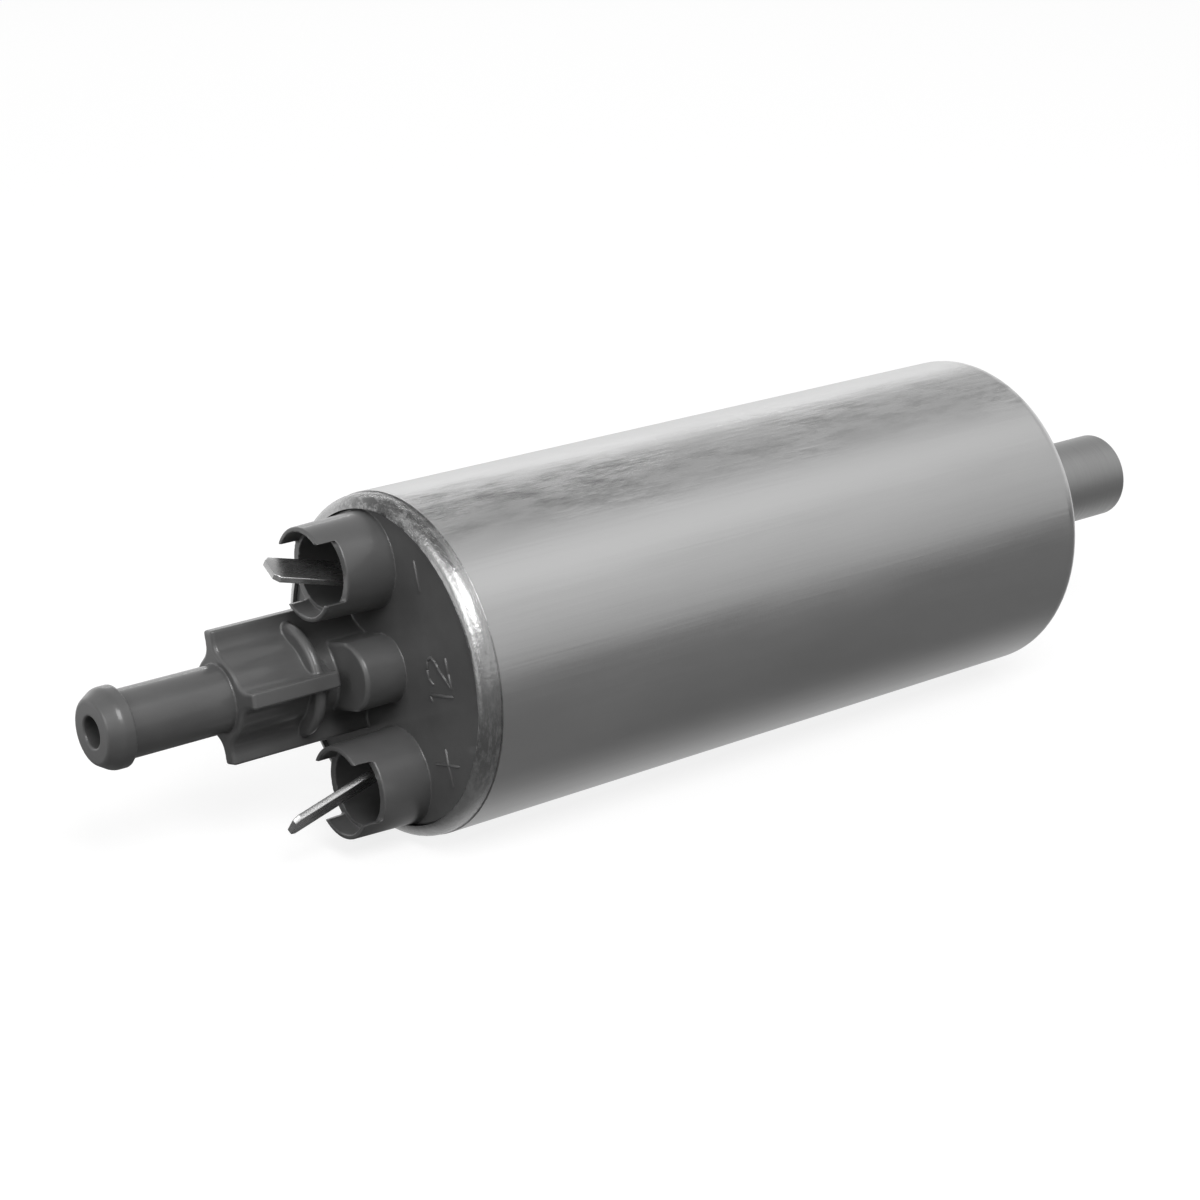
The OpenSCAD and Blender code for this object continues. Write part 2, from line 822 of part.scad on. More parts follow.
module relief_spring() {
    color("silver")
        at_relief()
            translate([relief_spring_x, 0, 0])
                rotate([0, 90, 0])
                    coil(ball_r - wire_d / 2, wire_d * 0.3, relief_turns,
                        relief_plug_x - relief_spring_x - push);
}

module relief_plug() {
    color("goldenrod")
        at_relief()
            ring(relief_plug_x, plug_t, ball_r + rest_gap - push, relief_hole_r);
}

// A plain bush with its running clearance on the shaft
module bush(x0) {
    color("peru")
        ring(x0, bearing_len, bearing_r, shaft_r + running);
}

module rear_bearing() {
    bush(outlet_plate_x);
}

module front_bearing() {
    bush(shaft_x);
}

module motor_shaft() {
    color("silver")
        difference() {
            rod(shaft_x + 0.5, shaft_end_x - shaft_x - 0.5, shaft_r);
            turned()
                polygon([
                    [shaft_r, shaft_x + 0.4], [shaft_r + 1, shaft_x + 0.4],
                    [shaft_r + 1, shaft_x + 1.1], [shaft_r, shaft_x + 1.1],
                    [shaft_r - 0.6, shaft_x + 0.5], [shaft_r - 0.6, shaft_x + 0.4]
                ]);
        }
}

// One slot of the stack, drawn on the Y axis, made smaller by a margin
module slot(margin) {
    deep_r = core_r * 0.17 - margin;
    deep = core_r * 0.645;
    top = core_r * 0.88 - margin;
    half = core_r * 0.25 - margin;
    translate([deep, 0])
        circle(r = deep_r, $fn = 48);
    polygon([[deep, -deep_r], [top, -half], [top, half], [deep, deep_r]]);
}

module armature_core() {
    color("dimgray")
        along_x(core_x, core_len)
            difference() {
                circle(r = core_r, $fn = 180);
                circle(r = shaft_r + push);
                for (i = [0 : slot_count - 1])
                    rotate(360 * i / slot_count) {
                        slot(0);
                        translate([core_r * 0.8, -core_r * 0.07])
                            square([core_r * 0.3, core_r * 0.14]);
                    }
            }
}

// The bundle of wire that stands out at one end of the stack
module crown(x0) {
    edge = crown_len * 0.3;
    low = shaft_r + 1.5;
    high = core_r * 0.9;
    turned() {
        translate([low, x0])
            square([high - low, crown_len - edge]);
        translate([low + edge, x0])
            square([high - low - 2 * edge, crown_len]);
        for (r = [low + edge, high - edge])
            translate([r, x0 + crown_len - edge])
                circle(r = edge, $fn = 32);
    }
}

module armature_windings() {
    color("chocolate") {
        along_x(core_x - eps, core_len + 2 * eps)
            for (i = [0 : slot_count - 1])
                rotate(360 * i / slot_count)
                    slot(0.2);
        crown(core_end_x);
        mirror([1, 0, 0])
            crown(-core_x);
    }
}

module commutator_hub() {
    color("saddlebrown")
        ring(commutator_x, crown_front_x - commutator_x, commutator_r * 0.65, shaft_r + push);
}

module commutator_bars() {
    color("peru")
        along_x(commutator_x, crown_front_x - commutator_x - 0.4)
            difference() {
                circle(r = commutator_r);
                circle(r = commutator_r * 0.65 + push);
                for (i = [0 : bar_count - 1])
                    rotate(360 * (i + 0.5) / bar_count)
                        translate([0, -0.25])
                            square([commutator_r + 1, 0.5]);
            }
}

module thrust_washer_front() {
    color("ivory")
        ring(plate_end_x + slip, washer_t, bearing_r - 0.3, shaft_r + push);
}

module thrust_washer_rear() {
    color("ivory")
        ring(outlet_plate_x - slip - washer_t, washer_t, bearing_r - 0.3, shaft_r + push);
}

module magnet(angle) {
    color("darkslategray")
        clocked()
            along_x(magnet_x, magnet_len)
                sector(angle, magnet_angle, inside_r, magnet_in_r);
}

module magnet_upper() {
    magnet(90);
}

module magnet_lower() {
    magnet(270);
}

// A bent sheet clip that pushes the two magnets apart
module magnet_clip(angle) {
    free_angle = 178 - magnet_angle;
    leg_angle = 2 * asin(clip_t / magnet_in_r);
    color("silver")
        clocked()
            along_x(magnet_x + magnet_len * 0.1, magnet_len * 0.8)
                difference() {
                    sector(angle, free_angle, inside_r, magnet_in_r + 2);
                    sector(angle, free_angle - leg_angle, inside_r - clip_t, core_r);
                }
}

module magnet_clip_near() {
    magnet_clip(180);
}

module magnet_clip_far() {
    magnet_clip(0);
}

module brush_holder() {
    color("black")
        clocked()
            difference() {
                union() {
                    rod(plate_x, holder_t, inside_r);
                    rod(shaft_x, bearing_len, bearing_r + 1.7);
                    for (s = [0, 1])
                        mirror([0, 0, s])
                            intersection() {
                                translate([plate_end_x - eps, -guide_out / 2 - 1.2, guide_foot])
                                    cube([guide_front_x + guide_out - plate_end_x + 1.2 + eps,
                                        guide_out + 2.4, barrel_r]);
                                rod(plate_x, barrel_len / 2, inside_r);
                            }
                }
                rod(shaft_x - eps, bearing_len + 2 * eps, bearing_r + push);
                for (s = [0, 1])
                    mirror([0, 0, s]) {
                        translate([guide_front_x - push, -guide_out / 2 - push, 0])
                            cube([guide_out + 2 * push, guide_out + 2 * push, guide_top + push]);
                        translate([0, 0, shroud_offset - foot_inset])
                            rod(plate_x - eps, guide_front_x - plate_x + 2 * eps, leg_w * 0.7);
                    }
                for (a = [-40, 0, 40, 140, 180, 220])
                    rotate([a, 0, 0])
                        translate([0, vent_circle_r, 0])
                            rod(plate_x - eps, holder_t + 2 * eps, vent_r);
            }
}

module brush_guide(side) {
    color("gold")
        on_side(side)
            difference() {
                translate([guide_front_x, -guide_out / 2, guide_foot])
                    cube([guide_out, guide_out, guide_top - guide_foot]);
                translate([brush_x - guide_in / 2, -guide_in / 2, guide_foot - eps])
                    cube([guide_in, guide_in, guide_top - guide_foot - guide_wall + eps]);
            }
}

module brush_guide_upper() {
    brush_guide(1);
}

module brush_guide_lower() {
    brush_guide(-1);
}

module brush(side) {
    color("darkslategray")
        on_side(side)
            difference() {
                translate([brush_x - brush_w / 2, -brush_w / 2, commutator_r * 0.9])
                    cube([brush_w, brush_w, brush_back - commutator_r * 0.9]);
                rod(brush_x - brush_w, 2 * brush_w, brush_tip);
            }
}

module brush_upper() {
    brush(1);
}

module brush_lower() {
    brush(-1);
}

brush_spring_len = guide_top - guide_wall - brush_back - 2 * push;

module brush_spring(side) {
    color("silver")
        on_side(side)
            translate([brush_x, 0, brush_back + push])
                coil(brush_w / 2 - wire_d, wire_d / 2, brush_turns, brush_spring_len);
}

module brush_spring_upper() {
    brush_spring(1);
}

module brush_spring_lower() {
    brush_spring(-1);
}

// Puts a piece of the check valve on the outlet's axis
module on_outlet() {
    clocked()
        translate([0, outlet_offset, outlet_rise])
            children();
}

module check_valve_seat() {
    color("goldenrod")
        on_outlet()
            difference() {
                rod(seat_x, seat_t, valve_r - push);
                rod(seat_x - eps, seat_t + 2 * eps, seat_hole_r);
                cone(hollow_x - 1, 1 + eps, seat_hole_r, seat_hole_r + 1 + eps);
            }
}

module check_valve_poppet() {
    color("olivedrab")
        on_outlet() {
            rod(poppet_back_x, poppet_t, valve_r - 0.8);
            rod(poppet_face_x - eps, eps + rest_gap + 1, seat_hole_r - rest_gap);
            rod(poppet_back_x - valve_spring_len * 0.6, valve_spring_len * 0.6 + eps, stem_r);
        }
}

module check_valve_spring() {
    color("silver")
        on_outlet()
            translate([ledge_x + push, 0, 0])
                rotate([0, 90, 0])
                    coil(valve_r - 0.4 - wire_d, wire_d / 2, valve_turns,
                        valve_spring_len - 2 * push);
}

echo(least_spring_gap = min(
    coil_gap(valve_turns, valve_spring_len - 2 * push),
    coil_gap(brush_turns, brush_spring_len),
    coil_gap(relief_turns, relief_plug_x - relief_spring_x - push)));

housing_shell();
outlet_cover();
terminal_negative();
terminal_positive();
cover_seal();
inlet_cover();
inlet_seal();
inlet_screen();
pump_inlet_plate();
pump_ring();
outer_rotor();
inner_rotor();
pump_outlet_plate();
pump_screws();
relief_ball();
relief_spring();
relief_plug();
rear_bearing();
drive_coupling();
motor_shaft();
armature_core();
armature_windings();
commutator_hub();
commutator_bars();
thrust_washer_front();
thrust_washer_rear();
magnet_upper();
magnet_lower();
magnet_clip_near();
magnet_clip_far();
brush_holder();
front_bearing();
brush_guide_upper();
brush_guide_lower();
brush_upper();
brush_lower();
brush_spring_upper();
brush_spring_lower();
check_valve_seat();
check_valve_poppet();
check_valve_spring();
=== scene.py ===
"""Looks of an inline fuel pump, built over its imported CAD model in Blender.

The barrel, the inlet fitting and every inner piece keep their CAD shape and get
a finish here. The moulded outlet cover, the two blade terminals and the four
springs are built again with small radii, rounded edges and round wire, and stand
for their CAD nodes.
Sizes of the pieces are in millimetres, in the pump's own frame: X runs along
the barrel from the outlet to the inlet, Z is up, and the origin is on the
barrel's axis, halfway along the barrel.
"""

import json
import logging
import math
from collections.abc import Callable, Iterable, Mapping, Sequence
from dataclasses import dataclass, field
from enum import Enum

import bpy
import numpy as np
from mathutils import Matrix, Vector


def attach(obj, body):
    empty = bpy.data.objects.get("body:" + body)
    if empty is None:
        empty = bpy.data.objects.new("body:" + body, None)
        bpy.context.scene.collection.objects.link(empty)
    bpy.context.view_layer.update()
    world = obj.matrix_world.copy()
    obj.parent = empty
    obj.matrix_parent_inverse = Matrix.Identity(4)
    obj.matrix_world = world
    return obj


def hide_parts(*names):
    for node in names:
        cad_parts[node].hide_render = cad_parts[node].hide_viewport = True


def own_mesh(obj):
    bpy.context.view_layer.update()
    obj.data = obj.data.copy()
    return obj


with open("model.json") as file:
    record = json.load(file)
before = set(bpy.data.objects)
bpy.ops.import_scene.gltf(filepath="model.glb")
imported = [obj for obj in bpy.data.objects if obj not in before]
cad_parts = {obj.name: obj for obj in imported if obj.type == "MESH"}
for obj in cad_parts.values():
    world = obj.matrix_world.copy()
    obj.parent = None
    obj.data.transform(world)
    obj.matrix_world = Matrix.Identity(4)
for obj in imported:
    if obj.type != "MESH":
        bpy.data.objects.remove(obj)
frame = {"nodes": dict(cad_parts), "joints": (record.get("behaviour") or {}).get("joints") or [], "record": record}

LOG = logging.getLogger("fuel_pump")
MM = 0.001
PUMP_BODY = "pump_body"
Array = np.ndarray
Distance = Callable[[Array, Array, Array], Array]
Pair = tuple[float, float]
Triple = tuple[float, float, float]
WHITE = (1.0, 1.0, 1.0, 1.0)
# Where the mix node has its amount, its two colours and its mixed colour
MIX_INPUTS = (0, 6, 7)
MIX_OUTPUT = 2


class Texture(Enum):
    """The kind of surface that a making process leaves."""

    MOULDED = "moulded"
    DRAWN = "drawn"
    TURNED = "turned"
    PRESSED = "pressed"
    WOUND = "wound"


class Side(Enum):
    """The terminal above the outlet fitting, or the one below it."""

    UPPER = 1
    LOWER = -1


class NodeSketch:
    """Adds shader nodes to a tree and joins them, to keep the finishes short."""

    def __init__(self, tree: bpy.types.NodeTree) -> None:
        """Starts an empty tree.

        Args:
            tree: The node tree of a material or of the world.
        """
        self.tree = tree
        tree.nodes.clear()

    def add(
        self, kind: str, inputs: Mapping[str | int, object] | None = None, **settings: object
    ) -> bpy.types.Node:
        """Adds one node.

        Args:
            kind: The node's type name.
            inputs: A value or a socket to join, for an input's name or number.
            settings: Properties to set on the node itself.

        Returns:
            The new node.
        """
        node = self.tree.nodes.new(kind)
        for name, value in settings.items():
            setattr(node, name, value)
        for name, value in (inputs or {}).items():
            if isinstance(value, bpy.types.NodeSocket):
                self.tree.links.new(value, node.inputs[name])
            else:
                node.inputs[name].default_value = value
        return node

    def number(self, operation: str, *values: object) -> bpy.types.NodeSocket:
        """Adds a sum, product or other function of one or more numbers.

        Args:
            operation: The math node's operation.
            values: Sockets or plain numbers.

        Returns:
            The output socket.
        """
        return self.add("ShaderNodeMath", dict(enumerate(values)), operation=operation).outputs[0]

    def spread(
        self, source: bpy.types.NodeSocket, taken: Pair, given: Pair, smooth: bool = False
    ) -> bpy.types.NodeSocket:
        """Maps one range of numbers onto another and keeps within it.

        Args:
            source: The socket with the number.
            taken: The range that comes in.
            given: The range that goes out.
            smooth: Whether the change eases in and out.

        Returns:
            The output socket.
        """
        names = ("Value", "From Min", "From Max", "To Min", "To Max")
        inputs = dict(zip(names, (source, *taken, *given)))
        easing = "SMOOTHSTEP" if smooth else "LINEAR"
        node = self.add("ShaderNodeMapRange", inputs, clamp=True, interpolation_type=easing)
        return node.outputs["Result"]

    def ramp(
        self, source: bpy.types.NodeSocket, stops: Sequence[Pair]
    ) -> bpy.types.NodeSocket:
        """Maps a number from 0 to 1 onto a curve through some stops.

        Args:
            source: The socket with the number.
            stops: Places from 0 to 1, and the value at each, from 0 to 1.

        Returns:
            The output socket.
        """
        node = self.add("ShaderNodeValToRGB", {"Fac": source})
        node.color_ramp.interpolation = "EASE"
        for _ in stops[2:]:
            node.color_ramp.elements.new(0.5)
        for element, (place, value) in zip(node.color_ramp.elements, stops):
            element.position = place
            element.color = (value, value, value, 1.0)
        return node.outputs["Color"]

    def place(self, space: str = "Object") -> bpy.types.NodeSocket:
        """Gives the point in a space: metres in Object, a direction in Generated."""
        return self.add("ShaderNodeTexCoord").outputs[space]

    def along(self, axis: str, space: str = "Object") -> bpy.types.NodeSocket:
        """Gives the point's place along one axis.

        Args:
            axis: X, Y or Z.
            space: The texture space that the place is in.

        Returns:
            The place's socket.
        """
        return self.add("ShaderNodeSeparateXYZ", {0: self.place(space)}).outputs[axis]

    def stretched(self, scale: Sequence[float]) -> bpy.types.NodeSocket:
        """Gives the point on the object, stretched along each axis.

        Args:
            scale: The factor along each axis.

        Returns:
            The point's socket.
        """
        inputs = {"Scale": scale, "Vector": self.place()}
        return self.add("ShaderNodeMapping", inputs, vector_type="POINT").outputs["Vector"]

    def noise(
        self, scale: Sequence[float], detail: float = 3.0, rough: float = 0.55
    ) -> bpy.types.NodeSocket:
        """Adds a noise pattern.

        Args:
            scale: Lumps per metre along each axis.
            detail: Number of finer layers.
            rough: Weight of the finer layers.

        Returns:
            The pattern's socket, from 0 to 1.
        """
        inputs = {"Vector": self.stretched(scale), "Scale": 1.0}
        inputs |= {"Detail": detail, "Roughness": rough}
        return self.add("ShaderNodeTexNoise", inputs).outputs["Fac"]

    def mix(
        self, amount: bpy.types.NodeSocket, first: object, second: object
    ) -> bpy.types.NodeSocket:
        """Mixes two colours by a pattern.

        Args:
            amount: The pattern's socket, 0 for the first colour and 1 for the second.
            first: A colour, or a colour's socket.
            second: A colour, or a colour's socket.

        Returns:
            The mixed colour's socket.
        """
        inputs = dict(zip(MIX_INPUTS, (amount, first, second)))
        for name, value in inputs.items():
            if not isinstance(value, bpy.types.NodeSocket):
                inputs[name] = (*value, 1.0)
        return self.add("ShaderNodeMix", inputs, data_type="RGBA").outputs[MIX_OUTPUT]

    def bump(
        self, height: bpy.types.NodeSocket, depth: float, under: bpy.types.NodeSocket | None = None
    ) -> bpy.types.NodeSocket:
        """Turns a pattern into relief.

        Args:
            height: The pattern's socket.
            depth: Depth of the relief, in millimetres.
            under: Relief to lay this one over.

        Returns:
            The normal's socket.
        """
        inputs = {"Strength": 1.0, "Distance": depth * MM, "Height": height}
        if under is not None:
            inputs["Normal"] = under
        return self.add("ShaderNodeBump", inputs).outputs["Normal"]


def shaded(tone: Sequence[float], factor: float) -> tuple[float, ...]:
    """Makes a colour lighter or darker by a factor, within white."""
    return tuple(min(1.0, part * factor) for part in tone)


# Lumps per metre along each axis, number of finer layers, and their weight
GRAINS: dict[Texture, tuple[Triple, float, float]] = {
    Texture.MOULDED: ((2200, 2200, 2200), 2, 0.5),
    Texture.DRAWN: ((60, 2600, 2600), 3, 0.55),
    Texture.TURNED: ((5200, 160, 160), 2, 0.55),
    Texture.PRESSED: ((1500, 1500, 1500), 4, 0.65),
}
WIRES_PER_METRE = 420
WIRE_WAVER = 1.5
# The values that most of a noise pattern lies between
NOISE_SPAN = (0.3, 0.7)
FINE_NOISE_SPAN = (0.25, 0.75)


@dataclass(frozen=True)
class Finish:
    """One finish: what it is made of and what its making left on it."""

    name: str
    tone: Triple
    metallic: float
    roughness: float
    texture: Texture
    depth: float = 0.01
    variation: float = 0.12
    specular: float = 0.5
    cloud_scale: Triple = (90.0, 90.0, 90.0)
    gloss_swing: Pair = (0.8, 1.25)

    def material(self) -> bpy.types.Material:
        """Builds the material, or finds it if it was built before.

        Returns:
            The node material.
        """
        known = bpy.data.materials.get(f"finish_{self.name}")
        if known is not None:
            return known
        made = bpy.data.materials.new(f"finish_{self.name}")
        made.use_nodes = True
        sketch = NodeSketch(made.node_tree)
        inputs = {"Metallic": self.metallic, "Specular IOR Level": self.specular}
        shader = sketch.add("ShaderNodeBsdfPrincipled", inputs | self.look(sketch))
        sketch.add("ShaderNodeOutputMaterial", {"Surface": shader.outputs["BSDF"]})
        return made

    def look(self, sketch: NodeSketch) -> dict[str, object]:
        """Makes the finish's colour, gloss and relief.

        Args:
            sketch: The material's tree.

        Returns:
            A value or a socket for each input of the surface shader.
        """
        cloud = sketch.noise(self.cloud_scale, detail=4)
        pattern = self.pattern(sketch)
        return {
            "Base Color": sketch.mix(cloud, *self.tones()),
            "Roughness": sketch.spread(pattern, FINE_NOISE_SPAN, self.rough()),
            "Normal": sketch.bump(pattern, self.depth),
        }

    def rough(self) -> Pair:
        """Gives the finish's least and greatest roughness."""
        return tuple(min(1.0, self.roughness * swing) for swing in self.gloss_swing)

    def tones(self) -> tuple[tuple[float, ...], tuple[float, ...]]:
        """Gives the finish's darkest and lightest colour."""
        return shaded(self.tone, 1 - self.variation), shaded(self.tone, 1 + self.variation)

    def pattern(self, sketch: NodeSketch) -> bpy.types.NodeSocket:
        """Adds the fine pattern that the making process leaves.

        Args:
            sketch: The material's tree.

        Returns:
            The pattern's socket, from 0 to 1.
        """
        if self.texture is Texture.WOUND:
            return self.wires(sketch)
        return sketch.noise(*GRAINS[self.texture])

    def wires(self, sketch: NodeSketch) -> bpy.types.NodeSocket:
        """Adds the ridges of wires that lie side by side.

        Args:
            sketch: The material's tree.

        Returns:
            The pattern's socket, from 0 to 1.
        """
        inputs = {"Vector": sketch.stretched([WIRES_PER_METRE] * 3), "Scale": 1.0}
        inputs |= {"Distortion": WIRE_WAVER, "Detail": 1.0}
        settings = {"wave_type": "BANDS", "bands_direction": "DIAGONAL"}
        return sketch.add("ShaderNodeTexWave", inputs, **settings).outputs["Fac"]


@dataclass(frozen=True)
class BarrelFinish(Finish):
    """Satin plated tube: drawing lines along it, a wrinkled belt high on its
    side where it was formed, its colour darkened as painted shade, and a scuffed
    band at the rolled rim, darker high up and low in front as painted shade."""

    cloud_scale: Triple = (38.0, 160.0, 160.0)
    line_scale: Triple = (35.0, 1500.0, 1500.0)
    belt_angle: float = 107.0
    belt_half: float = 19.0
    belt_waver: float = 0.12
    waver_scale: Triple = (22.0, 60.0, 60.0)
    belt_fades: Pair = (0.0, 30.0)
    belt_left: Pair = (1.0, 0.85)
    patch_scale: Triple = (34.0, 70.0, 70.0)
    patch_span: Pair = (0.33, 0.55)
    patch_left: Pair = (0.45, 1.0)
    # The creases' relief is bump; their darker colour, from crease_span and the tone below, is painted shade.
    crease_scale: Triple = (150.0, 650.0, 650.0)
    crease_span: Pair = (0.55, 0.36)
    crease_depth: float = 0.25
    painted_shade_tone: float = 0.5
    ripple_scale: Triple = (90.0, 1900.0, 1900.0)
    ripple_depth: float = 0.09
    rim_x: float = -50.5
    band_len: float = 2.4
    band_fade: Pair = (-0.2, 0.1)
    band_polish: float = 0.12
    scuff_scale: Triple = (1500.0, 420.0, 420.0)
    scuff_span: Pair = (0.4, 0.54)
    scuff_left: Pair = (0.35, 1.0)
    scuff_depth: float = 0.1
    # The band darkens to this tone in scuff specks, which are wear, weighted by arcs of painted shade high up and
    # low in front.
    scuff_and_shade_tone: float = 0.22
    # Arcs of painted shade on the band, as middle angle, half width and weight, and the least weight elsewhere.
    painted_shade_arcs: tuple[Triple, ...] = ((92.0, 46.0, 1.0), (192.0, 36.0, 0.65))
    least_painted_shade: float = 0.15
    tone_swing: Pair = (0.93, 1.06)
    gloss_swing: Pair = (0.9, 1.12)

    def look(self, sketch: NodeSketch) -> dict[str, object]:
        """Makes the finish's colour, gloss and relief.

        Args:
            sketch: The material's tree.

        Returns:
            A value or a socket for each input of the surface shader.
        """
        belt = self.belt(sketch)
        band = self.band(sketch)
        lines = sketch.noise(self.line_scale, detail=4)
        cloud = sketch.noise(self.cloud_scale, detail=3)
        creases = sketch.noise(self.crease_scale, detail=6, rough=0.72)
        ripples = sketch.noise(self.ripple_scale, detail=3, rough=0.6)
        scuffs = sketch.noise(self.scuff_scale, detail=5, rough=0.75)
        # Painted shade: the creases darken the belt's colour.
        painted_shade_folds = sketch.spread(creases, self.crease_span, (0.0, 1.0))
        specks = sketch.spread(scuffs, self.scuff_span, self.scuff_left)
        # Painted shade: the scuff specks are darkened more in the arcs high up and low in front.
        worn_and_shaded = sketch.number("MULTIPLY", specks, self.shaded_arcs(sketch))
        tone = sketch.mix(cloud, *(shaded(self.tone, swing) for swing in self.tone_swing))
        # The belt's darker creases and the band's darker arcs are painted shade; the band's specks are scuffs.
        for where, pattern, left in (
            (belt, painted_shade_folds, self.painted_shade_tone),
            (band, worn_and_shaded, self.scuff_and_shade_tone),
        ):
            amount = sketch.number("MULTIPLY", where, pattern)
            tone = sketch.mix(amount, tone, shaded(self.tone, left))
        rough = sketch.spread(cloud, NOISE_SPAN, self.rough())
        rough = sketch.number("MULTIPLY_ADD", band, -self.band_polish, rough)
        relief = sketch.bump(lines, self.depth)
        for pattern, where, depth in (
            (ripples, belt, self.ripple_depth),
            (creases, belt, self.crease_depth),
            (scuffs, band, self.scuff_depth),
        ):
            relief = sketch.bump(sketch.number("MULTIPLY", pattern, where), depth, relief)
        return {"Base Color": tone, "Roughness": rough, "Normal": relief}

    def belt(self, sketch: NodeSketch) -> bpy.types.NodeSocket:
        """Marks the wrinkled belt by the angle round the barrel: its relief, and its colour darkened as painted
        shade.

        Args:
            sketch: The material's tree.

        Returns:
            A socket that is 1 in the middle of the belt and 0 away from it.
        """
        waver = (-self.belt_waver, self.belt_waver)
        waver = sketch.spread(sketch.noise(self.waver_scale, detail=3), NOISE_SPAN, waver)
        off = self.off_angle(sketch, self.belt_angle)
        off = sketch.number("ABSOLUTE", sketch.number("ADD", off, waver))
        across = sketch.spread(off, (0.0, math.radians(self.belt_half)), (1.0, 0.0), True)
        fades = tuple(place * MM for place in self.belt_fades)
        along = sketch.spread(sketch.along("X"), fades, self.belt_left, True)
        patches = sketch.noise(self.patch_scale, detail=2)
        patches = sketch.spread(patches, self.patch_span, self.patch_left, True)
        return sketch.number("MULTIPLY", across, sketch.number("MULTIPLY", along, patches))

    def off_angle(self, sketch: NodeSketch, middle: float) -> bpy.types.NodeSocket:
        """Measures the angle round the barrel from a middle.

        Args:
            sketch: The material's tree.
            middle: The middle, in degrees from the Y axis towards the Z axis.

        Returns:
            A socket with the angle in radians.
        """
        low = sketch.number("MULTIPLY", sketch.along("Z"), -1.0)
        back = sketch.number("MULTIPLY", sketch.along("Y"), -1.0)
        angle = sketch.number("ADD", sketch.number("ARCTAN2", low, back), math.pi)
        return sketch.number("SUBTRACT", angle, math.radians(middle))

    def shaded_arcs(self, sketch: NodeSketch) -> bpy.types.NodeSocket:
        """Marks where the rolled band is painted darker as shade: high up, and low in front.

        Args:
            sketch: The material's tree.

        Returns:
            A socket that is 1 where the band's painted shade is darkest.
        """
        found: bpy.types.NodeSocket | float = self.least_painted_shade
        for middle, half, weight in self.painted_shade_arcs:
            off = sketch.number("ABSOLUTE", self.off_angle(sketch, middle))
            arc = sketch.spread(off, (0.0, math.radians(half)), (weight, 0.0), True)
            found = sketch.number("MAXIMUM", arc, found)
        return found

    def band(self, sketch: NodeSketch) -> bpy.types.NodeSocket:
        """Marks the rolled band at the rim by the place along the barrel.

        Args:
            sketch: The material's tree.

        Returns:
            A socket that is 1 on the band and 0 past it.
        """
        edge = self.rim_x + self.band_len
        fade = tuple((edge + place) * MM for place in self.band_fade)
        return sketch.spread(sketch.along("X"), fade, (1.0, 0.0))


@dataclass(frozen=True)
class PlasticFinish(Finish):
    """Glass-filled moulded plastic: a fine grain, faint flow marks and a satin
    gloss that is duller in patches."""

    cloud_scale: Triple = (130.0, 210.0, 210.0)
    grain_scale: Triple = (4200.0, 4200.0, 4200.0)
    flow_depth: float = 0.03
    coat: float = 0.4
    coat_roughness: float = 0.11
    gloss_swing: Pair = (0.85, 1.15)

    def look(self, sketch: NodeSketch) -> dict[str, object]:
        """Makes the finish's colour, gloss and relief.

        Args:
            sketch: The material's tree.

        Returns:
            A value or a socket for each input of the surface shader.
        """
        grain = sketch.noise(self.grain_scale, detail=3, rough=0.6)
        flow = sketch.noise(self.cloud_scale, detail=4)
        cloud = sketch.spread(flow, NOISE_SPAN, (0.0, 1.0))
        relief = sketch.bump(flow, self.flow_depth)
        return {
            "Base Color": sketch.mix(cloud, *self.tones()),
            "Roughness": sketch.spread(flow, NOISE_SPAN, self.rough()),
            "Normal": sketch.bump(grain, self.depth, relief),
            "Coat Weight": self.coat,
            "Coat Roughness": self.coat_roughness,
        }


def grey(value: float) -> Triple:
    """Gives a neutral grey."""
    return (value, value, value)


FINISHES: dict[str, Finish] = {
    finish.name: finish
    for finish in (
        BarrelFinish("barrel", grey(0.5), 1.0, 0.32, Texture.DRAWN, 0.02),
        PlasticFinish("cover_plastic", grey(0.085), 0.0, 0.38, Texture.MOULDED, 0.006, 0.1),
        Finish("terminal", grey(0.5), 0.95, 0.27, Texture.DRAWN, 0.002, 0.08),
        Finish("seal_rubber", grey(0.03), 0.0, 0.6, Texture.MOULDED, 0.01),
        Finish("inlet_alloy", grey(0.34), 1.0, 0.5, Texture.TURNED, 0.004, 0.06),
        Finish("steel", (0.55, 0.55, 0.56), 1.0, 0.28, Texture.DRAWN, 0.006),
        Finish("port_alloy", (0.6, 0.6, 0.62), 1.0, 0.35, Texture.TURNED, 0.008),
        Finish("ring_iron", (0.4, 0.4, 0.42), 1.0, 0.3, Texture.TURNED, 0.006),
        Finish("lamination", (0.2, 0.2, 0.21), 0.8, 0.45, Texture.TURNED, 0.03),
        Finish("copper", (0.72, 0.36, 0.2), 1.0, 0.3, Texture.TURNED, 0.006),
        Finish("copper_wire", (0.72, 0.36, 0.2), 1.0, 0.3, Texture.WOUND, 0.09),
        Finish("bronze", (0.62, 0.42, 0.22), 1.0, 0.45, Texture.PRESSED, 0.012),
        Finish("brass", (0.78, 0.6, 0.28), 1.0, 0.28, Texture.TURNED, 0.006),
        Finish("hub_resin", (0.2, 0.09, 0.05), 0.0, 0.4, Texture.MOULDED, 0.008),
        Finish("pale_plastic", (0.75, 0.72, 0.62), 0.0, 0.4, Texture.MOULDED, 0.006),
        Finish("ferrite", (0.08, 0.08, 0.085), 0.0, 0.55, Texture.PRESSED, 0.012),
        Finish("carbon", (0.06, 0.06, 0.06), 0.0, 0.6, Texture.PRESSED, 0.012),
        Finish("holder_plastic", (0.05, 0.05, 0.05), 0.0, 0.42, Texture.MOULDED, 0.008),
    )
}


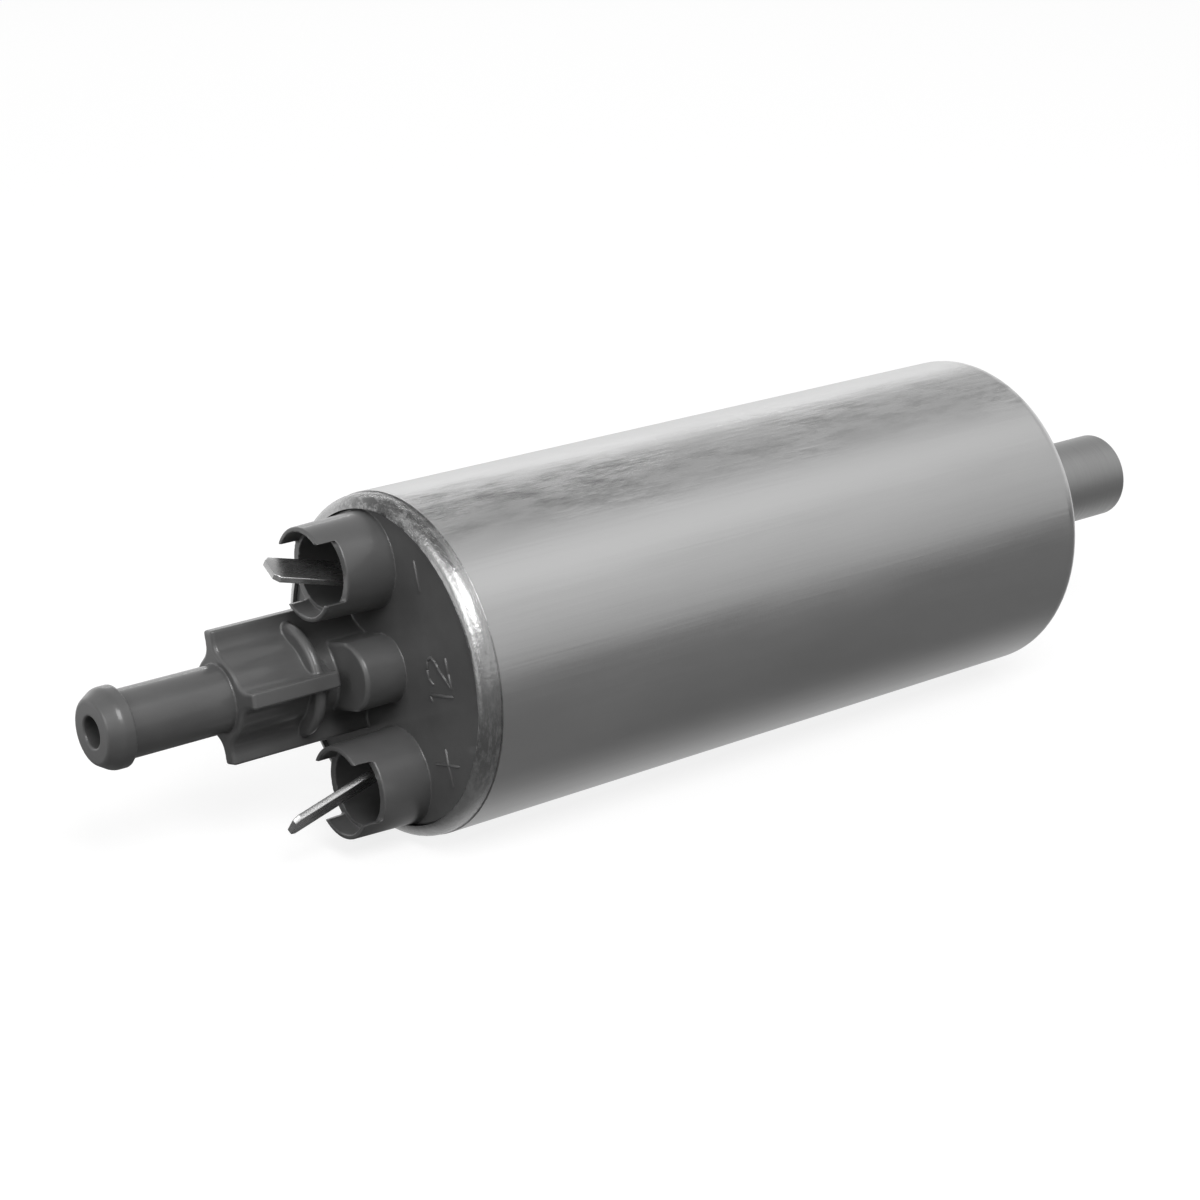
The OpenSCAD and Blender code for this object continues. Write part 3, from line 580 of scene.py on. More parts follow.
# Reach of a blend between two distance fields, for a fillet with a radius of 1,
# and its depth as a share of the reach
BLEND_REACH = 1.17
BLEND_DEPTH = 0.25


def joined(first: Array, second: Array, fillet: float) -> Array:
    """Joins two distance fields with a fillet in the corner.

    Args:
        first: Distances to one form.
        second: Distances to the other.
        fillet: Radius of the fillet, in millimetres.

    Returns:
        Distances to both forms together.
    """
    reach = BLEND_REACH * fillet
    near = np.maximum(reach - np.abs(first - second), 0.0) / reach
    return np.minimum(first, second) - near * near * reach * BLEND_DEPTH


def trimmed(form: Array, tool: Array, edge: float) -> Array:
    """Cuts one form out of another and rounds the new edge.

    Args:
        form: Distances to the form.
        tool: Distances to what is cut away.
        edge: Radius of the new edge, in millimetres.

    Returns:
        Distances to what is left.
    """
    return -joined(-form, tool, edge)


def bar(
    x: Array, out: Array, ends: Pair, radius: Array | float, edge: float
) -> Array:
    """Gives distances to a round bar along X.

    Args:
        x: Place along X.
        out: Distance from the bar's axis.
        ends: The bar's two ends.
        radius: The bar's radius, which may change along X.
        edge: Rounding of the end edges.

    Returns:
        Distances to the bar.
    """
    return prism(x, out - radius, ends, edge)


def prism(x: Array, across: Array, ends: Pair, edge: float) -> Array:
    """Gives distances to an outline drawn out along X.

    Args:
        x: Place along X.
        across: Distances to the outline, in its plane.
        ends: The two ends.
        edge: Rounding of the end edges.

    Returns:
        Distances to the prism.
    """
    middle, half = (ends[0] + ends[1]) / 2, (ends[1] - ends[0]) / 2
    along = np.abs(x - middle) - half + edge
    across = across + edge
    outside = np.hypot(np.maximum(across, 0.0), np.maximum(along, 0.0))
    return outside + np.minimum(np.maximum(across, along), 0.0) - edge


def oblong(first: Array, second: Array, half: Pair, corner: float) -> Array:
    """Gives distances to a rectangle with rounded corners, centred on 0.

    Args:
        first: Place along the first side.
        second: Place along the second side.
        half: Half of each side.
        corner: Radius of the corners.

    Returns:
        Distances to the rectangle, in its plane.
    """
    wide = np.abs(first) - half[0] + corner
    high = np.abs(second) - half[1] + corner
    outside = np.hypot(np.maximum(wide, 0.0), np.maximum(high, 0.0))
    return outside + np.minimum(np.maximum(wide, high), 0.0) - corner


# The corners of a grid cell
CORNERS = [(i, j, k) for i in (0, 1) for j in (0, 1) for k in (0, 1)]


@dataclass
class Skin:
    """Draws a mesh over the surface where a distance field is zero."""

    distance: Distance
    low: Triple
    high: Triple
    step: float
    probe: float = 0.01
    least_slope: float = 0.2

    def sampled(self) -> tuple[list[Array], Array]:
        """Measures the field on a grid, one slab of X at a time.

        Returns:
            The grid's places along each axis, and the distances.
        """
        axes = [
            np.arange(a, b + self.step, self.step, dtype=np.float32)
            for a, b in zip(self.low, self.high)
        ]
        second, third = np.meshgrid(axes[1], axes[2], indexing="ij")
        slabs = [self.distance(np.full_like(second, x), second, third) for x in axes[0]]
        return axes, np.stack(slabs).astype(np.float32)

    def drawn(self) -> tuple[Array, Array]:
        """Finds one point in each grid cell that the surface crosses, and joins
        the four cells round each crossed grid line with a face.

        Returns:
            The points, and the faces as four point numbers each.
        """
        axes, grid = self.sampled()
        inside = grid < 0
        cells = tuple(n - 1 for n in grid.shape)
        count = np.zeros(cells, np.uint8)
        for i, j, k in CORNERS:
            count += inside[i : i + cells[0], j : j + cells[1], k : k + cells[2]]
        crossed = (count > 0) & (count < len(CORNERS))
        number = np.full(cells, -1, np.int64)
        number[crossed] = np.arange(crossed.sum())
        where = np.argwhere(crossed)
        points = self.middles(grid, where) * self.step + [axis[0] for axis in axes]
        return points, self.faces(inside, number)

    def middles(self, grid: Array, where: Array) -> Array:
        """Averages the surface's crossings of each cell's edges.

        Args:
            grid: The distances.
            where: The crossed cells' places in the grid.

        Returns:
            One point for each cell, in grid steps.
        """
        total = np.zeros((len(where), 3))
        found = np.zeros(len(where))
        for corner in CORNERS:
            start = where + corner
            here = grid[tuple(start.T)].astype(float)
            for axis in range(3):
                if corner[axis]:
                    continue
                end = start.copy()
                end[:, axis] += 1
                there = grid[tuple(end.T)].astype(float)
                cut = (here < 0) != (there < 0)
                share = np.where(cut, here / np.where(cut, here - there, 1.0), 0.0)
                spot = start.astype(float)
                spot[:, axis] += share
                total += spot * cut[:, None]
                found += cut
        return total / found[:, None]

    def faces(self, inside: Array, number: Array) -> Array:
        """Joins the cells round each grid line that the surface crosses.

        Args:
            inside: Which grid points are inside the form.
            number: Each crossed cell's point number.

        Returns:
            The faces, facing outwards.
        """
        made = []
        for axis in range(3):
            first, second = (axis + 1) % 3, (axis + 2) % 3
            here = np.moveaxis(inside, (axis, first, second), (0, 1, 2))
            cell = np.moveaxis(number, (axis, first, second), (0, 1, 2))
            a, b = here[:-1, 1:-1, 1:-1], here[1:, 1:-1, 1:-1]
            i, j, k = np.nonzero(a != b)
            ring = np.stack(
                [cell[i, j, k], cell[i, j + 1, k], cell[i, j + 1, k + 1], cell[i, j, k + 1]], 1
            )
            outward = a[i, j, k]
            made += [ring[outward], ring[~outward][:, ::-1]]
        return np.concatenate(made)

    def slope(self, points: Array) -> tuple[Array, Array]:
        """Measures the field and the way it rises at some points.

        Args:
            points: The points.

        Returns:
            The distances, and the unit vectors that lead away from the form.
        """
        rise = np.empty_like(points)
        for axis in range(3):
            step = np.zeros(3)
            step[axis] = self.probe
            rise[:, axis] = self.distance(*(points + step).T) - self.distance(*(points - step).T)
        rise /= 2 * self.probe
        size = np.maximum(np.linalg.norm(rise, axis=1), self.least_slope)
        return self.distance(*points.T) / size, rise / size[:, None]

    def settled(self, points: Array, rounds: int = 3) -> Array:
        """Moves points onto the surface, by at most half a grid step a round.

        Args:
            points: The points.
            rounds: How often they are moved.

        Returns:
            The moved points.
        """
        for _ in range(rounds):
            gap, way = self.slope(points)
            points = points - np.clip(gap, -self.step / 2, self.step / 2)[:, None] * way
        return points


def between_rings(rings: int, sides: int, closed: bool = True) -> list[list[int]]:
    """Lists the faces that join rings of points, each ring to the next.

    Args:
        rings: Number of rings.
        sides: Points in a ring.
        closed: Whether a ring's last point joins its first.

    Returns:
        The faces, as four point numbers each.
    """
    faces = []
    for ring in range(rings - 1):
        for side in range(sides if closed else sides - 1):
            here, after = ring * sides + side, ring * sides + (side + 1) % sides
            faces.append([here, after, after + sides, here + sides])
    return faces


def piece_of(
    name: str, points: Array, faces: Iterable[Sequence[int]], material: bpy.types.Material
) -> bpy.types.Object:
    """Makes an object from points in millimetres.

    Args:
        name: The piece's name.
        points: Its points.
        faces: Its faces, as point numbers.
        material: Its material.

    Returns:
        The object, linked to the scene.
    """
    mesh = bpy.data.meshes.new(name)
    mesh.from_pydata((np.asarray(points, float) * MM).tolist(), [], [list(f) for f in faces])
    mesh.validate()
    made = bpy.data.objects.new(name, mesh)
    bpy.context.scene.collection.objects.link(made)
    mesh.materials.append(material)
    mesh.shade_smooth()
    return made


def thinned(thing: bpy.types.Object, share: float) -> None:
    """Takes faces out of a piece where it is flat.

    Args:
        thing: The piece.
        share: The share of faces that stays.
    """
    modifier = thing.modifiers.new("fewer_faces", "DECIMATE")
    modifier.ratio = share
    graph = bpy.context.evaluated_depsgraph_get()
    mesh = bpy.data.meshes.new_from_object(thing.evaluated_get(graph))
    thing.modifiers.clear()
    thing.data = mesh
    mesh.name = thing.name


@dataclass
class SubAssembly:
    """A group of pieces that ride on one CAD body."""

    body: str = PUMP_BODY

    def build(self) -> list[bpy.types.Object]:
        """Builds the pieces and returns them."""
        raise NotImplementedError

    def mounted(
        self, piece: bpy.types.Object, slot: str, stands_for: Sequence[str] = ()
    ) -> bpy.types.Object:
        """Fixes a finished piece to the body.

        Args:
            piece: The piece, in place.
            slot: Not used.
            stands_for: CAD nodes that it replaces.

        Returns:
            The piece.
        """
        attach(piece, self.body)
        if stands_for:
            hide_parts(*stands_for)
        return piece


# Corners of each mark's lines on the cover's face, as places along Y and Z
MARKS: dict[str, list[list[Pair]]] = {
    "mark_minus": [[(-6.7, 15.4), (-7.8, 11.9)]],
    "mark_plus": [[(-12.4, -6.8), (-13.9, -11.1)], [(-10.6, -9.2), (-15.1, -8.1)]],
    "mark_number": [
        [(-10.0, -1.3), (-9.5, -0.65), (-14.1, 0.45)],
        [(-10.2, 0.9), (-9.3, 1.4), (-9.0, 2.4), (-9.1, 3.6), (-9.7, 4.2), (-10.6, 3.8)]
        + [(-11.2, 3.2), (-12.8, 2.1), (-13.95, 1.4), (-13.3, 3.1), (-12.7, 4.9)],
    ],
}
MARK_RADIUS = 0.2
MARK_TIP = 0.1
MARK_SINK = 0.03
MARK_SIDES = 8


@dataclass
class OutletCover(SubAssembly):
    """The moulded end cover with its outlet fitting, boss and two shrouds."""

    clock: float = -14.0
    step: float = 0.2
    trial_step: float = 1.6
    kept_share: float = 0.22
    margin: float = 0.7
    grid_side: float = 20.9
    overlap: float = 1.0
    foot_fillet: float = 0.06
    small_edge: float = 0.1
    edge: float = 0.15
    face_x: float = -50.0
    face_r: float = 19.7
    skirt_x: float = -49.4
    skirt_r: float = 20.3
    skirt_edge: float = 0.25
    end_x: float = -40.5
    hollow_x: float = -45.5
    hollow_r: float = 16.8
    hollow_corner: float = 0.8
    hollow_edge: float = 0.2
    groove: Pair = (-44.5, -42.2)
    groove_r: float = 18.6
    outlet: float = 6.8
    rise: float = 0.35
    tip_x: float = -86.6
    tip_r: float = 3.95
    nose: float = 1.7
    bead_r: float = 5.0
    bead_back: float = -83.3
    bead_edge: float = 0.25
    bead_fillet: float = 0.05
    stub_r: float = 4.2
    stub_bore: float = 1.9
    stub_fillet: float = 0.12
    valve_x: float = -69.5
    valve_r: float = 5.25
    valve_bore: float = 3.6
    valve_edge: float = 0.45
    valve_fillet: float = 0.3
    ledge_x: float = -59.0
    rib_r: float = 8.25
    rib_t: float = 2.0
    rib_fillet: float = 1.6
    rib_edge: float = 0.3
    rib_end: float = -57.2
    collar_x: float = -59.25
    collar_r: float = 6.45
    collar_t: float = 0.75
    collar_fillet: float = 0.2
    boss_x: float = -55.7
    boss_r: float = 4.25
    boss_u: float = -0.4
    boss_edge: float = 0.55
    core_wall: float = 2.0
    core_shift: float = 0.4
    core_share: float = 0.45
    shroud_v: float = 13.4
    shroud_x: float = -59.25
    shroud_r: float = 5.8
    flare: float = 0.3
    wall: float = 0.6
    ledge: float = 0.45
    notch_depth: float = 2.6
    notch_w: float = 7.3
    notch_corner: float = 0.35
    lip_edge: float = 0.2
    mouth_edge: float = 0.12
    socket_x: float = -49.8

    def turned(self, y: Array, z: Array) -> tuple[Array, Array]:
        """Turns a place into the cover's own directions.

        Args:
            y: Place along Y.
            z: Place along Z.

        Returns:
            The place towards the outlet, and the place towards the upper shroud.
        """
        c, s = math.cos(math.radians(self.clock)), math.sin(math.radians(self.clock))
        return c * y + s * z, -s * y + c * z

    def distance(self, x: Array, y: Array, z: Array) -> Array:
        """Gives distances to the whole moulding.

        Args:
            x: Place along X.
            y: Place along Y.
            z: Place along Z.

        Returns:
            The distances, below zero in the plastic.
        """
        u, v = self.turned(y, z)
        form = self.plug(x, np.hypot(u, v))
        form = joined(form, self.boss(x, u, v), self.foot_fillet)
        valve = self.valve_housing(x, u - self.outlet, v - self.rise)
        form = joined(form, valve, self.valve_fillet)
        for side in Side:
            shroud, socket = self.shroud(x, u, v * side.value - self.shroud_v)
            form = trimmed(joined(form, shroud, self.foot_fillet), socket, self.mouth_edge)
        stub = self.stub(x, np.hypot(u - self.outlet, v - self.rise))
        return self.bored(joined(form, stub, self.stub_fillet), x, u, v)

    def plug(self, x: Array, out: Array) -> Array:
        """Gives distances to the part that fills the barrel's end.

        Args:
            x: Place along X.
            out: Distance from the pump's axis.

        Returns:
            Distances to the plug, with its hollow and its seal's groove.
        """
        face = bar(x, out, (self.face_x, self.skirt_x + self.overlap), self.face_r, self.edge)
        skirt = bar(x, out, (self.skirt_x, self.end_x), self.skirt_r, self.skirt_edge)
        ends = (self.hollow_x, self.end_x + 5 * self.overlap)
        hollow = bar(x, out, ends, self.hollow_r, self.hollow_corner)
        form = trimmed(np.minimum(face, skirt), hollow, self.hollow_edge)
        front, back = self.groove
        ring = np.abs(x - (front + back) / 2) - (back - front) / 2
        ring = np.maximum(ring, self.groove_r - out)
        return trimmed(form, ring, self.edge)

    def boss(self, x: Array, u: Array, v: Array) -> Array:
        """Gives distances to the half-round boss between the shrouds.

        Args:
            x: Place along X.
            u: Place towards the outlet.
            v: Place towards the upper shroud.

        Returns:
            Distances to the boss.
        """
        round_side = np.hypot(u - self.boss_u, v) - self.boss_r
        reach = (self.outlet - self.boss_u) / 2
        block = oblong(u - self.boss_u - reach, v, (reach, self.boss_r), self.small_edge)
        ends = (self.boss_x, self.face_x + self.overlap)
        return prism(x, np.minimum(round_side, block), ends, self.boss_edge)

    def valve_housing(self, x: Array, u: Array, v: Array) -> Array:
        """Gives distances to the ribbed housing and its collar ring.

        Args:
            x: Place along X.
            u: Place across the housing, away from the boss.
            v: Place across the housing, towards the upper shroud.

        Returns:
            Distances to the housing.
        """
        out = np.hypot(u, v)
        half, thin = self.rib_r / 2, self.rib_t / 2
        rib = oblong(u, v, (thin, self.rib_r), self.rib_edge)
        rear = joined(out - self.valve_r, rib, self.rib_fillet)
        rib = oblong(u - half, v, (half, thin), self.rib_edge)
        rear = joined(rear, rib, self.rib_fillet)
        rib = oblong(u + half, v, (half, thin), self.rib_edge)
        front = joined(rear, rib, self.rib_fillet)
        form = np.minimum(
            prism(x, rear, (self.valve_x, self.face_x + self.overlap), self.valve_edge),
            prism(x, front, (self.valve_x, self.rib_end), self.valve_edge),
        )
        ring = np.hypot(x - self.collar_x, out - self.collar_r) - self.collar_t
        ends = (self.collar_x - self.collar_t, self.collar_x + self.collar_t)
        web = prism(x, out - self.collar_r, ends, self.small_edge)
        return joined(form, np.minimum(ring, web), self.collar_fillet)

    def stub(self, x: Array, out: Array) -> Array:
        """Gives distances to the hose stub and its bead.

        Args:
            x: Place along X.
            out: Distance from the stub's axis.

        Returns:
            Distances to the stub.
        """
        ends = (self.tip_x + self.overlap, self.valve_x + self.overlap)
        form = bar(x, out, ends, self.stub_r, self.small_edge)
        bead = bar(x, out, (self.tip_x, self.bead_back), self.bead_r, self.edge)
        steep = (self.bead_r - self.tip_r) / self.nose
        cone = (out - self.tip_r - (x - self.tip_x) * steep) / math.hypot(1.0, steep)
        bead = trimmed(bead, -cone, self.bead_edge)
        return joined(form, bead, self.bead_fillet)

    def shroud(self, x: Array, u: Array, v: Array) -> tuple[Array, Array]:
        """Gives distances to one shroud, and to the room inside it.

        Args:
            x: Place along X.
            u: Place across the shroud, towards the outlet.
            v: Place across the shroud, away from the pump's axis.

        Returns:
            Distances to the shroud's outside, and to its socket and notches.
        """
        out = np.hypot(u, v)
        grown = self.shroud_r + self.flare * (x - self.shroud_x) / (self.face_x - self.shroud_x)
        ends = (self.shroud_x, self.face_x + self.overlap)
        outside = bar(x, out, ends, grown, self.lip_edge)
        mouth = self.shroud_r - self.wall
        reach, sill = 2 * self.overlap, self.shroud_x + self.notch_depth
        upper = bar(x, out, (self.shroud_x - reach, sill), mouth, self.small_edge)
        ends = (self.shroud_x - reach, self.socket_x)
        lower = bar(x, out, ends, mouth - self.ledge, self.edge)
        half = (self.notch_depth + reach, self.notch_w / 2)
        wide = oblong(x - self.shroud_x + reach, v, half, self.notch_corner)
        notch = np.maximum(wide, np.abs(u) - 2 * self.shroud_r)
        return outside, np.minimum(np.minimum(upper, lower), notch)

    def bored(self, form: Array, x: Array, u: Array, v: Array) -> Array:
        """Cuts the outlet's bore, the valve's chamber and the core behind the boss.

        Args:
            form: Distances to the moulding without them.
            x: Place along X.
            u: Place towards the outlet.
            v: Place towards the upper shroud.

        Returns:
            Distances to what is left.
        """
        out = np.hypot(u - self.outlet, v - self.rise)
        inner_end, small = self.hollow_x + self.overlap, self.small_edge
        chamber = bar(x, out, (self.ledge_x, inner_end), self.valve_bore, small)
        ends = (self.tip_x - 2 * self.overlap, self.ledge_x + self.overlap)
        bore = bar(x, out, ends, self.stub_bore, small)
        core = np.hypot(u - self.boss_u + self.core_shift, v)
        ends = (self.boss_x + self.core_wall, inner_end)
        core = bar(x, core, ends, self.boss_r * self.core_share, small)
        form = trimmed(form, bore, self.bead_edge)
        return trimmed(form, np.minimum(chamber, core), small)

    def build(self) -> list[bpy.types.Object]:
        """Builds the moulding and the raised marks on its face.

        Returns:
            The moulding and the marks.
        """
        step = self.step * 1.0
        low = (self.tip_x - self.margin, -self.grid_side, -self.grid_side)
        high = (self.end_x + self.margin, self.grid_side, self.grid_side)
        skin = Skin(self.distance, low, high, step)
        points, faces = skin.drawn()
        plastic = FINISHES["cover_plastic"].material()
        cover = piece_of("outlet_cover_moulding", skin.settled(points), faces, plastic)
        thinned(cover, self.kept_share)
        self.smooth(cover, skin)
        LOG.info("cover: %d points drawn, %d faces kept", len(points), len(cover.data.polygons))
        return [self.mounted(cover, "cover_plastic", ["outlet_cover"]), *self.marks()]

    def smooth(self, cover: bpy.types.Object, skin: Skin) -> None:
        """Puts the points back on the true surface and shades by its slope.

        Args:
            cover: The thinned moulding.
            skin: The surface that it follows.
        """
        mesh = cover.data
        points = np.empty(len(mesh.vertices) * 3)
        mesh.vertices.foreach_get("co", points)
        points = skin.settled(points.reshape(-1, 3) / MM, 2)
        mesh.vertices.foreach_set("co", (points * MM).ravel())
        _, way = skin.slope(points)
        mesh.shade_smooth()
        way /= np.linalg.norm(way, axis=1)[:, None]
        mesh.normals_split_custom_set_from_vertices(way.tolist())
        mesh.update()

    def marks(self) -> list[bpy.types.Object]:
        """Raises the polarity signs and a plain number on the face.

        Returns:
            One piece for each mark.
        """
        made = []
        for name, strokes in MARKS.items():
            made.append(self.mounted(raised_lines(name, strokes, self.face_x), "cover_plastic"))
        return made


def raised_lines(
    name: str, strokes: Sequence[Sequence[Pair]], x: float
) -> bpy.types.Object:
    """Draws thin half-round ridges on a face that looks towards -X.

    Args:
        name: The piece's name.
        strokes: Corners of each line, as places along Y and Z.
        x: Where the face lies.

    Returns:
        The ridges as one mesh.
    """
    points: list[Triple] = []
    faces: list[list[int]] = []
    for stroke in strokes:
        for start, end in zip(stroke[:-1], stroke[1:]):
            a, b = Vector((0, *start)), Vector((0, *end))
            along = (b - a).normalized()
            side = along.cross(Vector((1, 0, 0)))
            tip, first = along * MARK_RADIUS, len(points)
            for spot, tall in ((a - tip, MARK_TIP), (a, 1.0), (b, 1.0), (b + tip, MARK_TIP)):
                for k in range(MARK_SIDES + 1):
                    turn = math.pi * k / MARK_SIDES
                    place = spot + side * (MARK_RADIUS * tall * math.cos(turn))
                    rise = MARK_RADIUS * tall * math.sin(turn)
                    points.append((x + MARK_SINK - rise, place.y, place.z))
            joins = between_rings(4, MARK_SIDES + 1, False)
            faces += [[first + n for n in face] for face in joins]
    return piece_of(name, np.array(points), faces, FINISHES["cover_plastic"].material())


@dataclass
class BladeTerminal(SubAssembly):
    """A flat blade that leans outwards in its shroud, with rounded edges."""

    side: Side = Side.UPPER
    node: str = "terminal_negative"
    clock: float = -14.0
    socket_x: float = -49.8
    foot_v: float = 11.4
    width: float = 4.2
    thick: float = 0.8
    root: float = -0.8
    length: float = 14.3
    chamfer: float = 0.7
    lean: float = 14.5
    turn: float = 34.0
    edge: float = 0.12
    leg_w: float = 2.4
    leg_root: float = -1.1
    leg_end: float = -33.6
    sharp_from: float = 38.0

    def outline(self) -> list[Pair]:
        """Lists the blade's corners, from its root round its tip.

        Returns:
            The corners in the blade's plane.
        """
        half, tip = self.width / 2, -self.length
        return [
            (self.root, -half),
            (self.root, half),
            (tip + self.chamfer, half),
            (tip, half - self.chamfer),
            (tip, -half + self.chamfer),
            (tip + self.chamfer, -half),
        ]

    def plate(self, outline: Sequence[Pair]) -> tuple[Array, list[list[int]]]:
        """Gives an outline the blade's thickness and rounds its edges.

        Args:
            outline: Corners in the plate's plane.

        Returns:
            Points in the plate's own frame, and faces.
        """
        corners = np.array(outline, float)
        ahead = np.roll(corners, -1, 0) - corners
        ahead /= np.linalg.norm(ahead, axis=1)[:, None]
        normal = np.stack([ahead[:, 1], -ahead[:, 0]], 1)
        before = np.roll(normal, 1, 0)
        mitre = (normal + before) / (1 + (normal * before).sum(1))[:, None]
        outward = np.sign((mitre * (corners - corners.mean(0))).sum())
        rings = []
        for level, angles in ((-1, (0, 30, 60, 90)), (1, (90, 60, 30, 0))):
            for angle in map(math.radians, angles):
                inset = self.edge * (1 - math.sin(angle))
                height = level * (self.thick / 2 - self.edge * (1 - math.cos(angle)))
                flat = corners - outward * mitre * inset
                rings.append(np.column_stack([flat, np.full(len(flat), height)]))
        count, last = len(corners), len(corners) * (len(rings) - 1)
        faces = [list(range(count))[::-1], list(range(last, last + count))]
        return np.concatenate(rings), faces + between_rings(len(rings), count)

    def build(self) -> list[bpy.types.Object]:
        """Builds the blade and the leg that carries it through the cover.

        Returns:
            The terminal.
        """
        blade, faces = self.plate(self.outline())
        half, root, reach = self.leg_w / 2, self.leg_root, self.leg_end - self.socket_x
        leg, leg_faces = self.plate([(root, -half), (root, half), (reach, half), (reach, -half)])
        turn = Matrix.Rotation(math.radians(self.turn), 4, "X")
        lean = Matrix.Rotation(math.radians(self.lean), 4, "Y")
        points = np.concatenate([self.moved(blade, lean @ turn), self.moved(leg, turn)])
        faces += [[n + len(blade) for n in face] for face in leg_faces]
        name, metal = f"blade_{self.side.name.lower()}", FINISHES["terminal"].material()
        piece = piece_of(name, points, faces, metal)
        piece.data.set_sharp_from_angle(angle=math.radians(self.sharp_from))
        return [self.mounted(piece, "terminal", [self.node])]

    def moved(self, points: Array, place: Matrix) -> Array:
        """Puts points of the plate's own frame in their place in the pump.

        Args:
            points: The points.
            place: Their turn in the shroud.

        Returns:
            The points in the pump's frame.
        """
        where = Matrix.Translation((self.socket_x, 0, self.foot_v)) @ place
        if self.side is Side.LOWER:
            where = Matrix.Scale(-1, 4, (0, 0, 1)) @ where
        where = Matrix.Rotation(math.radians(self.clock), 4, "X") @ where
        return np.array([where @ Vector(point) for point in points])


@dataclass
class CoilSpring(SubAssembly):
    """A round-wire spring, laid along the axis of a joint that pushes on one end of it."""

    node: str = "check_valve_spring"
    joint: str = "check_valve_lift"
    wire_r: float = 0.25
    turns: int = 5
    rings: int = 24
    sides: int = 10

    def build(self) -> list[bpy.types.Object]:
        """Builds the coil in the room of its CAD node.

        Returns:
            The spring.
        """
        joint = next(found for found in frame["joints"] if found["name"] == self.joint)
        way = Vector(joint["axis"]).normalized()
        start, length, reach = self.room(way)
        points, faces = self.coil(start, way, length, reach - self.wire_r)
        piece = piece_of(f"{self.node}_coil", points, faces, FINISHES["steel"].material())
        self.mounted(piece, "steel", [self.node])
        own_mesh(piece)
        return [piece]

    def room(self, way: Vector) -> tuple[Vector, float, float]:
        """Measures the room that the CAD spring takes.

        Args:
            way: The direction in which the spring is pushed.

        Returns:
            The middle of the pushed end, the length and the outer radius, in
            millimetres.
        """
        cad = frame["nodes"][self.node]
        points = np.array([cad.matrix_world @ point.co for point in cad.data.vertices]) / MM
        aside = way.orthogonal().normalized()
        across = way.cross(aside)
        places = points @ np.array([way, aside, across]).T
        low, high = places.min(0), places.max(0)
        _, first, second = (low + high) / 2
        reach = np.hypot(places[:, 1] - first, places[:, 2] - second).max()
        start = way * float(low[0]) + aside * float(first) + across * float(second)
        return start, float(high[0] - low[0]), float(reach)

    def coil(
        self, start: Vector, way: Vector, length: float, radius: float
    ) -> tuple[Array, list[list[int]]]:
        """Winds a round wire along a helix.

        Args:
            start: The middle of the end where the helix starts.
            way: The helix's axis.
            length: Its length over both ends.
            radius: Its radius to the middle of the wire.

        Returns:
            The points and the faces.
        """
        aside = way.orthogonal().normalized()
        across = way.cross(aside)
        count = self.turns * self.rings
        points = []
        for ring in range(count + 1):
            turn = math.tau * ring / self.rings
            outward = aside * math.cos(turn) + across * math.sin(turn)
            middle = start + way * (self.wire_r + (length - 2 * self.wire_r) * ring / count)
            for side in range(self.sides):
                angle = math.tau * side / self.sides
                out = radius + self.wire_r * math.cos(angle)
                points.append(middle + outward * out + way * (self.wire_r * math.sin(angle)))
        last = len(points) - self.sides
        faces = [list(range(self.sides)), list(range(last, len(points)))[::-1]]
        faces += [[a, d, c, b] for a, b, c, d in between_rings(count + 1, self.sides)]
        return np.array(points), faces


@dataclass
class CarriedNodes(SubAssembly):
    """The CAD nodes that keep their shape and get their finish here."""

    replaced: tuple[str, ...] = (
        "outlet_cover",
        "terminal_negative",
        "terminal_positive",
        "check_valve_spring",
        "relief_spring",
        "brush_spring_upper",
        "brush_spring_lower",
    )
    windings: str = "armature_windings"

    def build(self) -> list[bpy.types.Object]:
        """Gives each carried node the finish of its slot in the record.

        Returns:
            The nodes.
        """
        dressed = []
        for part in frame["record"]["subparts"]:
            name = part["node"]
            if name in self.replaced:
                continue
            node = frame["nodes"][name]
            finish = FINISHES["copper_wire" if name == self.windings else part["material_slot"]]
            for place in range(len(node.material_slots)):
                node.material_slots[place].material = finish.material()
            dressed.append(node)
        return dressed


@dataclass(frozen=True)
class Lamp:
    """A rectangular soft light that looks at the pump's middle."""

    name: str
    azimuth: float
    elevation: float
    size: Pair
    power: float
    distance: float = 0.8

    def build(self) -> bpy.types.Object:
        """Makes the lamp.

        Returns:
            The lamp's object.
        """
        data = bpy.data.lights.new(self.name, "AREA")
        data.shape = "RECTANGLE"
        data.size, data.size_y = self.size
        data.energy = self.power
        lamp = bpy.data.objects.new(self.name, data)
        bpy.context.scene.collection.objects.link(lamp)
        a, e = math.radians(self.azimuth), math.radians(self.elevation)
        away = Vector((math.cos(a) * math.cos(e), math.sin(a) * math.cos(e), math.sin(e)))
        lamp.location = away * self.distance
        lamp.rotation_mode = "QUATERNION"
        lamp.rotation_quaternion = away.to_track_quat("Z", "Y")
        return lamp


